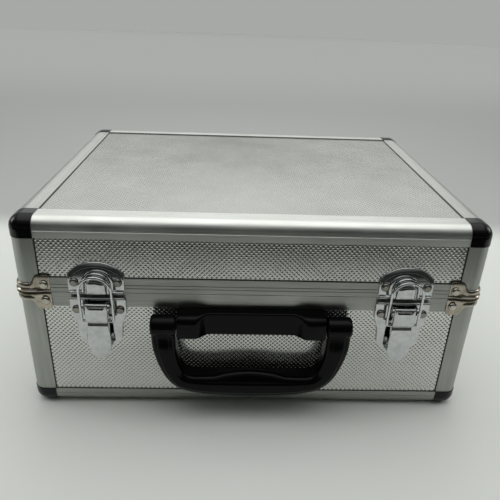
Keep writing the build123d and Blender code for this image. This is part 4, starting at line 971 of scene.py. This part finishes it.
class CASE_OT_corner_brackets(bpy.types.Operator):
    """Presses the brackets that wrap the corners of both rims"""
    bl_idname = "attache.corner_brackets"
    bl_label = "Press corner brackets"

    def execute(self, context):
        low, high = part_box("lid_corner_posts")
        for half, away in (("lid", 1), ("base", -1)):
            made = []
            for x, side_x in ((low.x / MM, -1), (high.x / MM, 1)):
                for y, side_y in ((low.y / MM, 1), (high.y / MM, -1)):
                    made.append(corner_bracket(x, y, side_x, side_y, away))
            name = half + "_corner_brackets"
            piece = piece_from(name + "_pressed", joined(name, made), half, "nickel",
                               smooth=40)
            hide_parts(name)
        return {"FINISHED"}


# ---- soft inside -------------------------------------------------------------------------
FOAM_PITCH, FOAM_CREST = 30.0 * MM, 13.0 * MM        # egg-crate foam: spacing and height of its crests
FOAM_STEP, FOAM_POINT, FOAM_DRIFT = 2.6 * MM, 1.25, 0.25 * MM
FOAM_EDGE, FOAM_EDGE_W = 1.2 * MM, 4 * MM            # how far its border is worn back, and how wide
LINING_ROUND, LINING_T = 7.0 * MM, 1.9 * MM
LINING_SLACK, LINING_SWELL, LINING_TURN = 0.1 * MM, 0.7 * MM, 3.0 * MM
PAD_SEAM_INSET, PAD_STEP, PAD_CAP = 5.0 * MM, 4.5 * MM, 2.4 * MM
PAD_SLACK, PAD_EDGE, PAD_EDGE_W = 0.3 * MM, 2.4 * MM, 3.0 * MM
PAD_GROOVE, PAD_GROOVE_W = 1.7 * MM, (0.6 * MM, 9.0 * MM)    # a seam's depth, and the reach of its slope
STITCH_SPACING, STITCH_LENGTH, STITCH_R = 4.2 * MM, 2.9 * MM, 0.42 * MM
STITCH_CLEAR, STITCH_OFF_WALL = 1.5 * MM, 0.35 * MM  # the lining's stitches: distance from the rim and the wall


def grid_counts(low, high, step):
    """How many cells of about one step fit along X and along Y."""
    return [max(2, round((high[axis] - low[axis]) / step)) for axis in (0, 1)]


def slab(name, low, high, step, lower, upper):
    """A closed slab whose lower and upper faces follow two height functions of x and y."""
    nx, ny = grid_counts(low, high, step)
    shape = bmesh.new()
    sheets = []
    for level in (lower, upper):
        sheets.append([[shape.verts.new((x, y, level(x, y))) for y in
                        (low.y + (high.y - low.y) * j / ny for j in range(ny + 1))]
                       for x in (low.x + (high.x - low.x) * i / nx for i in range(nx + 1))])
    under, over = sheets
    for i in range(nx):
        for j in range(ny):
            shape.faces.new((over[i][j], over[i + 1][j], over[i + 1][j + 1], over[i][j + 1]))
            shape.faces.new((under[i][j], under[i][j + 1], under[i + 1][j + 1], under[i + 1][j]))
    border = ([(i, 0) for i in range(nx)] + [(nx, j) for j in range(ny)]
              + [(i, ny) for i in range(nx, 0, -1)] + [(0, j) for j in range(ny, 0, -1)])
    for (a, b), (c, d) in zip(border, border[1:] + border[:1]):
        shape.faces.new((under[a][b], under[c][d], over[c][d], over[a][b]))
    return mesh_of(shape, name)


class CASE_OT_lid_foam(bpy.types.Operator):
    """Cuts the egg-crate foam that fills the lid"""
    bl_idname = "attache.lid_foam"
    bl_label = "Cut lid foam"

    def execute(self, context):
        low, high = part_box("lid_foam")
        rng = random.Random(11)
        swing = [(rng.uniform(0.0, 6.28), rng.uniform(0.0, 6.28)) for _ in range(2)]
        middle = (low + high) / 2

        def crests(x, y):
            u, v = 2 * math.pi * (x - middle.x) / FOAM_PITCH, 2 * math.pi * (y - middle.y) / FOAM_PITCH
            wave = 0.5 + 0.5 * math.sin(u) * math.sin(v)
            edge = min(x - low.x, high.x - x, y - low.y, high.y - y)
            drift = FOAM_DRIFT * sum(math.sin(u / 3 + a) * math.sin(v / 2.3 + b) for a, b in swing)
            soft = FOAM_EDGE * (1 - smooth_step(edge, 0.0, FOAM_EDGE_W))
            return low.z + soft + FOAM_CREST * wave ** FOAM_POINT + abs(drift)

        mesh = slab("lid_foam_cut", low, high, FOAM_STEP, crests, lambda x, y: high.z)
        foam = piece_from("lid_foam_cut", mesh, "lid", "foam", smooth=50)
        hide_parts("lid_foam")
        return {"FINISHED"}


def pad_lines(low, high):
    """Where the floor pad is stitched through: places along X and along Y."""
    wide, deep = high.x - low.x, high.y - low.y
    return [low.x + wide * k / 3 for k in (1, 2)], [low.y + deep / 2]


def swelled(mesh, pinned, frames=20):
    """The mesh blown up by a little pressure in a cloth simulation, held still where pinned says."""
    holder = holder_of(mesh)
    group = holder.vertex_groups.new(name="sewn")
    group.add([v.index for v in mesh.vertices if pinned(v.co)], 1.0, "REPLACE")
    cloth = holder.modifiers.new("cover", "CLOTH")
    setup = cloth.settings
    setup.quality, setup.mass, setup.air_damping = 5, 0.15, 2.0
    setup.tension_stiffness = setup.compression_stiffness = 12.0
    setup.shear_stiffness, setup.bending_stiffness = 6.0, 0.4
    setup.use_pressure, setup.uniform_pressure_force = True, 4.0
    setup.vertex_group_mass = "sewn"
    setup.effector_weights.gravity = 0.0
    cloth.collision_settings.use_collision = False
    cloth.point_cache.frame_start, cloth.point_cache.frame_end = 1, frames
    scene = bpy.context.scene
    for frame_number in range(1, frames + 1):
        scene.frame_set(frame_number)
    result = baked(holder)
    scene.frame_set(1)
    return result


class CASE_OT_floor_pad(bpy.types.Operator):
    """Sews the quilted pad on the floor of the case"""
    bl_idname = "attache.floor_pad"
    bl_label = "Sew floor pad"

    def execute(self, context):
        low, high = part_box("base_floor_pad")
        across, along = pad_lines(low, high)

        def seam_distance(x, y):
            border = min(x - low.x, high.x - x, y - low.y, high.y - y)
            lines = [abs(x - at) for at in across] + [abs(y - at) for at in along]
            return min([abs(border - PAD_SEAM_INSET), *lines])

        def top(x, y):
            border = min(x - low.x, high.x - x, y - low.y, high.y - y)
            edge = PAD_EDGE * (1 - smooth_step(border, 0.0, PAD_EDGE_W))
            groove = PAD_GROOVE * (1 - smooth_step(seam_distance(x, y), *PAD_GROOVE_W))
            return high.z - PAD_SLACK - edge - groove

        mesh = slab("floor_pad", low, high, PAD_STEP, lambda x, y: low.z, top)
        before = [v.co.copy() for v in mesh.vertices]
        level = low.z + 0.5 * MM
        mesh = swelled(mesh, lambda p: p.z < level or seam_distance(p.x, p.y) < PAD_STEP * 0.6)
        for vertex, start in zip(mesh.vertices, before):
            move = vertex.co - start
            move.z = max(move.z, 0.0)
            if move.length > PAD_CAP:
                move *= PAD_CAP / move.length
            vertex.co = start + move
        mesh.shade_smooth()
        pad = piece_from("base_floor_pad_sewn", mesh, "base", "felt")
        fine = pad.modifiers.new("fine", "SUBSURF")
        fine.levels = fine.render_levels = 1
        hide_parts("base_floor_pad")
        return {"FINISHED"}


def plan_ring(low, high, radius, z, ripple=0.0):
    """A rounded rectangle in plan at one height, with long straight sides divided, as a ring of points."""
    ring = []
    corners = (((high.x - radius, high.y - radius), 0), ((low.x + radius, high.y - radius), 90),
               ((low.x + radius, low.y + radius), 180), ((high.x - radius, low.y + radius), 270))
    for index, (centre, start) in enumerate(corners):
        turn = arc(centre, radius, start, start + 90, 8)
        ahead, begin = corners[(index + 1) % 4]
        far = arc(ahead, radius, begin, begin + 90, 8)[0]
        steps = 40
        side = [tuple(a + (b - a) * k / steps for a, b in zip(turn[-1], far)) for k in range(1, steps)]
        ring += turn + side
    middle = ((low.x + high.x) / 2, (low.y + high.y) / 2)
    points = []
    for k, (x, y) in enumerate(ring):
        pull = ripple * (0.5 + 0.5 * math.sin(k * 0.55) * math.sin(k * 0.17 + 1.0))
        to_middle = Vector((middle[0] - x, middle[1] - y, 0)).normalized()
        points.append(Vector((x, y, z)) + to_middle * pull)
    return points


class CASE_OT_linings(bpy.types.Operator):
    """Lines the lid and the base with soft felt that is rounded into the corners"""
    bl_idname = "attache.linings"
    bl_label = "Fit linings"

    def execute(self, context):
        for half, floor_up in (("lid", True), ("base", False)):
            low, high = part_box(half + "_lining")
            rim_z, floor_z = (low.z, high.z) if floor_up else (high.z, low.z)
            into = 1 if floor_z > rim_z else -1
            slack, wall = Vector((LINING_SLACK, LINING_SLACK, 0)), Vector((LINING_T, LINING_T, 0))
            outer, inner = (low + slack, high - slack), (low + wall, high - wall)
            floor_in = floor_z - into * LINING_T
            rings = [plan_ring(*outer, 1.0 * MM, floor_z - into * LINING_SLACK),
                     plan_ring(*outer, 1.0 * MM, rim_z),
                     plan_ring(*inner, LINING_ROUND, rim_z)]
            tall = abs(floor_in - rim_z)
            for share in (0.05, 0.15, 0.3, 0.5, 0.7, 0.85):
                swell = LINING_SWELL * math.sin(math.pi * share)
                rings.append(plan_ring(*inner, LINING_ROUND, rim_z + into * tall * share, swell))
            for angle in (15, 35, 55, 75, 90):
                inward = LINING_TURN * (1 - math.cos(math.radians(angle)))
                drop = LINING_TURN * (1 - math.sin(math.radians(angle)))
                shrink = Vector((inward, inward, 0))
                rings.append(plan_ring(inner[0] + shrink, inner[1] - shrink, LINING_ROUND,
                                       floor_in - into * drop))
            name = half + "_lining_felt"
            lining = piece_from(name, skin(name, rings), half, "felt", smooth=50)
            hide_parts(half + "_lining")
        return {"FINISHED"}


# ---- stitches ----------------------------------------------------------------------------
def stitch_tree():
    """Short capsules laid end to end along a line of edges."""
    tree, given = new_tree("stitch_run", (("Path", "Geometry"), ("Spacing", "Float"),
                                          ("Stitch Length", "Float"), ("Thread Radius", "Float")))
    curve = add(tree, "GeometryNodeMeshToCurve", links={"Mesh": given["Path"]})
    dots = add(tree, "GeometryNodeCurveToPoints", mode="LENGTH",
               links={"Curve": curve.outputs["Curve"], "Length": given["Spacing"]})
    ball = add(tree, "GeometryNodeMeshUVSphere", values={"Segments": 6, "Rings": 5},
               links={"Radius": given["Thread Radius"]})
    half = add(tree, "ShaderNodeMath", operation="MULTIPLY", values={1: 0.5},
               links={0: given["Stitch Length"]})
    ratio = add(tree, "ShaderNodeMath", operation="DIVIDE",
                links={0: half.outputs[0], 1: given["Thread Radius"]})
    stretch = add(tree, "ShaderNodeCombineXYZ", values={"X": 1.0, "Y": 1.0}, links={"Z": ratio.outputs[0]})
    thread = add(tree, "GeometryNodeTransform",
                 links={"Geometry": ball.outputs["Mesh"], "Scale": stretch.outputs["Vector"]})
    lie = add(tree, "FunctionNodeAlignEulerToVector", axis="Z", links={"Vector": dots.outputs["Tangent"]})
    laid = add(tree, "GeometryNodeInstanceOnPoints",
               links={"Points": dots.outputs["Points"], "Instance": thread.outputs["Geometry"],
                      "Rotation": lie.outputs["Rotation"]})
    end_tree(tree, laid.outputs["Instances"], given["Finish"])
    return tree


def path_mesh(name, runs):
    """Edges along runs of points."""
    shape = bmesh.new()
    for run, closed in runs:
        spots = [shape.verts.new(point) for point in run]
        for a, b in zip(spots, spots[1:] + (spots[:1] if closed else [])):
            if a is not b:
                shape.edges.new((a, b))
    return mesh_of(shape, name, closed=False)


class CASE_OT_stitches(bpy.types.Operator):
    """Lays the thread along the floor pad's seams and round the linings"""
    bl_idname = "attache.stitches"
    bl_label = "Lay stitches"

    def execute(self, context):
        tree = stitch_tree()
        low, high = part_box("base_floor_pad")
        across, along = pad_lines(low, high)
        level = high.z - PAD_GROOVE
        gap = Vector((PAD_SEAM_INSET, PAD_SEAM_INSET, 0))
        border = plan_ring(low + gap, high - gap, 2 * MM, level)
        near, far = low + gap, high - gap
        runs = [(border, True)]
        runs += [([Vector((x, near.y, level)), Vector((x, far.y, level))], False) for x in across]
        runs += [([Vector((near.x, y, level)), Vector((far.x, y, level))], False) for y in along]
        paths = {"base": runs, "lid": []}
        for half in ("lid", "base"):
            inner_low, inner_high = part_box(half + "_lining")
            shrink = Vector((LINING_T, LINING_T, 0))
            rim_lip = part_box(half + "_rim_left")
            z = rim_lip[1].z + STITCH_CLEAR if half == "lid" else rim_lip[0].z - STITCH_CLEAR
            paths[half].append((plan_ring(inner_low + shrink, inner_high - shrink, LINING_ROUND, z,
                                          STITCH_OFF_WALL), True))
        for half, lines in paths.items():
            name = half + "_stitches"
            mesh = grown_by_nodes(name, tree, path_mesh(name + "_path", lines), **{
                "Spacing": STITCH_SPACING, "Stitch Length": STITCH_LENGTH, "Thread Radius": STITCH_R,
                "Finish": FINISHES["thread"]})
            mesh.shade_smooth()
            piece_from(name, mesh, half)
        return {"FINISHED"}


# ---- stage -------------------------------------------------------------------------------
CAMERA_PLACE = Vector((-16.44, -446.39, 288.98)) * MM
CAMERA_PITCH, CAMERA_YAW, CAMERA_ROLL = math.radians(25.65), math.radians(2.42), math.radians(2.19)
CAMERA_LENS, SENSOR = 37.64, 36.0


def camera_turn():
    """The camera's axes: looking down by the pitch, turned by the yaw and rolled."""
    ahead = Vector((math.sin(CAMERA_YAW) * math.cos(CAMERA_PITCH),
                    math.cos(CAMERA_YAW) * math.cos(CAMERA_PITCH), -math.sin(CAMERA_PITCH)))
    level = Vector((math.cos(CAMERA_YAW), -math.sin(CAMERA_YAW), 0))
    upright = level.cross(ahead)
    right = math.cos(CAMERA_ROLL) * level + math.sin(CAMERA_ROLL) * upright
    up = -math.sin(CAMERA_ROLL) * level + math.cos(CAMERA_ROLL) * upright
    return Matrix((right, up, -ahead)).transposed().to_4x4()


SOFT_LIGHTS = (
    # name, place, target, size, watts, spread in degrees
    ("overhead_panel", (0.0, 0.10, 1.10), (0.0, 0.10, 0.0), (1.5, 1.5), 2.9, 120.0),
    ("rear_panel", (0.0, 1.1, 0.75), (0.0, 0.0, 0.1), (1.6, 0.5), 0.9, 120.0),
    ("left_panel", (-1.0, 0.05, 0.55), (0.0, 0.0, 0.05), (0.4, 0.4), 0.5, 100.0),
    ("right_panel", (1.0, 0.05, 0.55), (0.0, 0.0, 0.05), (0.4, 0.4), 0.5, 100.0),
    ("backdrop_panel", (0.0, 3.0, 2.2), (0.0, 3.0, 0.0), (6.0, 4.0), 32.0, 60.0),
)


def soft_light(name, place, target, size, power, spread_deg):
    """A rectangular area light that faces a point."""
    data = bpy.data.lights.new(name, "AREA")
    data.shape = "RECTANGLE"
    data.size, data.size_y = size
    data.energy = power
    data.spread = math.radians(spread_deg)
    lamp = placed(name, data)
    lamp.location = place
    lamp.rotation_euler = (Vector(target) - Vector(place)).to_track_quat("-Z", "Y").to_euler()
    lamp.visible_camera = False


FLOOR_REACH = 40.0
FLOOR_PAINTED_SHADE = (0.19, 0.27)                            # where the floor is painted greyer behind the case: painted shade
CARD_HALF_W, CARD_FAR, CARD_NEAR = 2.0, -2.5, -0.33
CARD_LIFT, CARD_FADE = 0.5 * MM, 0.06                # its height, and how wide its near edge fades
WALL_R, WALL_FOOT, WALL_TOP, WALL_SIDES = 4.6, -0.1, 8.0, 48
TENT_FRONT = 0.03                                    # brightness of the surroundings where the viewer stands
# added brightness behind and above: direction, amount, and the share of it where it starts and ends
TENT = (("Y", 0.34, -0.45, 0.45), ("Z", 0.35, 0.45, 0.95))


def light_tent():
    """Surroundings that are pale behind and above the case and dark where the viewer stands."""
    world = bpy.data.worlds.new("light_tent")
    world.use_nodes = True
    tree = world.node_tree
    tree.nodes.clear()
    place = add(tree, "ShaderNodeTexCoord")
    heading = add(tree, "ShaderNodeSeparateXYZ", links={"Vector": place.outputs["Generated"]})
    parts = [add(tree, "ShaderNodeMapRange", values={"From Min": start, "From Max": end, "To Max": amount},
                 links={"Value": heading.outputs[axis]}).outputs["Result"]
             for axis, amount, start, end in TENT]
    glow = add(tree, "ShaderNodeMath", operation="ADD", links=dict(enumerate(parts))).outputs[0]
    glow = add(tree, "ShaderNodeMath", operation="ADD", values={1: TENT_FRONT}, links={0: glow}).outputs[0]
    back = add(tree, "ShaderNodeBackground", values={"Color": linear("fbfffb")}, links={"Strength": glow})
    add(tree, "ShaderNodeOutputWorld", links={"Surface": back.outputs["Background"]})
    return world


def flat_sheet(name, half_width, front, rear, height):
    """A level rectangle, centred across."""
    mesh = bpy.data.meshes.new(name)
    mesh.from_pydata([(-half_width, front, height), (half_width, front, height),
                      (half_width, rear, height), (-half_width, rear, height)], [], [(0, 1, 2, 3)])
    return placed(name, mesh)


def blend_in_depth(tree, span, ends, easing):
    """A value that goes from one end to the other over a span of distance from front to rear."""
    place = add(tree, "ShaderNodeTexCoord")
    depth = add(tree, "ShaderNodeSeparateXYZ", links={"Vector": place.outputs["Object"]})
    return add(tree, "ShaderNodeMapRange", interpolation_type=easing,
               values={"From Min": span[0], "From Max": span[1], "To Min": ends[0], "To Max": ends[1]},
               links={"Value": depth.outputs["Y"]}).outputs["Result"]


def table_top():
    """The floor: pale under the case and greyer behind it, the grey being painted shade on the flat sheet."""
    floor = flat_sheet("table_top", FLOOR_REACH, -FLOOR_REACH, FLOOR_REACH, 0.0)
    material, tree, shader = new_finish("pale_matt_paper", Roughness=0.9)
    # greyer behind the case: painted shade
    turn = blend_in_depth(tree, FLOOR_PAINTED_SHADE, (0.0, 1.0), "SMOOTHSTEP")
    mix = add(tree, "ShaderNodeMix", data_type="RGBA", values={6: linear("f0f2ee"), 7: linear("bcbdbb")},
              links={0: turn})
    tree.links.new(mix.outputs[2], shader.inputs["Base Color"])
    floor.data.materials.append(material)


def dark_card():
    """A dark card lying in front of the case that only reflections see, so that the metal reads as metal."""
    card = flat_sheet("dark_card", CARD_HALF_W, CARD_FAR, CARD_NEAR, CARD_LIFT)
    material, tree, shader = new_finish("black_card", Roughness=1.0, **{"Base Color": linear("1a1a19")})
    fade = blend_in_depth(tree, (CARD_NEAR - CARD_FADE, CARD_NEAR), (1.0, 0.0), "LINEAR")
    tree.links.new(fade, shader.inputs["Alpha"])
    card.data.materials.append(material)
    card.visible_camera = card.visible_diffuse = card.visible_shadow = False


def horizon_wall():
    """A pale wall all round, far off, that closes the view above the floor and lights nothing."""
    shape = bmesh.new()
    turns = [2 * math.pi * k / WALL_SIDES for k in range(WALL_SIDES)]
    foot, top = [[shape.verts.new((WALL_R * math.cos(turn), WALL_R * math.sin(turn), height))
                  for turn in turns] for height in (WALL_FOOT, WALL_TOP)]
    for k in range(WALL_SIDES):
        j = (k + 1) % WALL_SIDES
        shape.faces.new((foot[j], foot[k], top[k], top[j]))
    wall = placed("horizon_wall", mesh_of(shape, "horizon_wall", closed=False))
    material = new_finish("pale_painted_wall", Roughness=1.0, **{
        "Base Color": linear("000000"), "Specular IOR Level": 0.0, "Emission Color": linear("a7a9a7"),
        "Emission Strength": 1.0})[0]
    wall.data.materials.append(material)
    wall.visible_glossy = wall.visible_diffuse = wall.visible_shadow = False


class CASE_OT_stage(bpy.types.Operator):
    """Sets up the floor, the lights and the camera"""
    bl_idname = "attache.stage"
    bl_label = "Set the stage"

    def execute(self, context):
        scene = context.scene
        table_top()
        scene.view_settings.view_transform = "Standard"
        scene.world = light_tent()
        dark_card()
        horizon_wall()
        for name, place, target, size, power, spread_deg in SOFT_LIGHTS:
            soft_light(name, place, target, size, power, spread_deg)

        data = bpy.data.cameras.new("camera")
        data.lens, data.sensor_width = CAMERA_LENS, SENSOR
        data.clip_start, data.clip_end = 0.01, 50.0
        camera = placed("camera", data)
        camera.matrix_world = Matrix.Translation(CAMERA_PLACE) @ camera_turn()
        scene.camera = camera
        return {"FINISHED"}


class CASE_PT_panel(bpy.types.Panel):
    """Lists the steps that make the case"""
    bl_idname = "CASE_PT_panel"
    bl_label = "Attache Case"
    bl_space_type = "VIEW_3D"
    bl_region_type = "UI"
    bl_category = "Attache Case"

    def draw(self, context):
        settings = context.scene.attache_case
        for name in CaseSettings.__annotations__:
            self.layout.prop(settings, name)
        for step in STEPS:
            self.layout.operator(step.bl_idname)


STEPS = (CASE_OT_stage, CASE_OT_finish_metal, CASE_OT_emboss, CASE_OT_handle, CASE_OT_latches,
         CASE_OT_corner_brackets, CASE_OT_lid_foam, CASE_OT_floor_pad, CASE_OT_linings, CASE_OT_stitches)
CLASSES = (CaseSettings, *STEPS, CASE_PT_panel)


def register():
    """Adds the classes and the settings to Blender."""
    for kind in CLASSES:
        bpy.utils.register_class(kind)
    bpy.types.Scene.attache_case = PointerProperty(type=CaseSettings)


def unregister():
    """Takes them away again."""
    del bpy.types.Scene.attache_case
    for kind in reversed(CLASSES):
        bpy.utils.unregister_class(kind)


def main():
    """Makes the case step by step."""
    register()
    make_finishes()
    for step in STEPS:
        group, call = step.bl_idname.split(".")
        getattr(getattr(bpy.ops, group), call)()


if __name__ == "__main__":
    main()
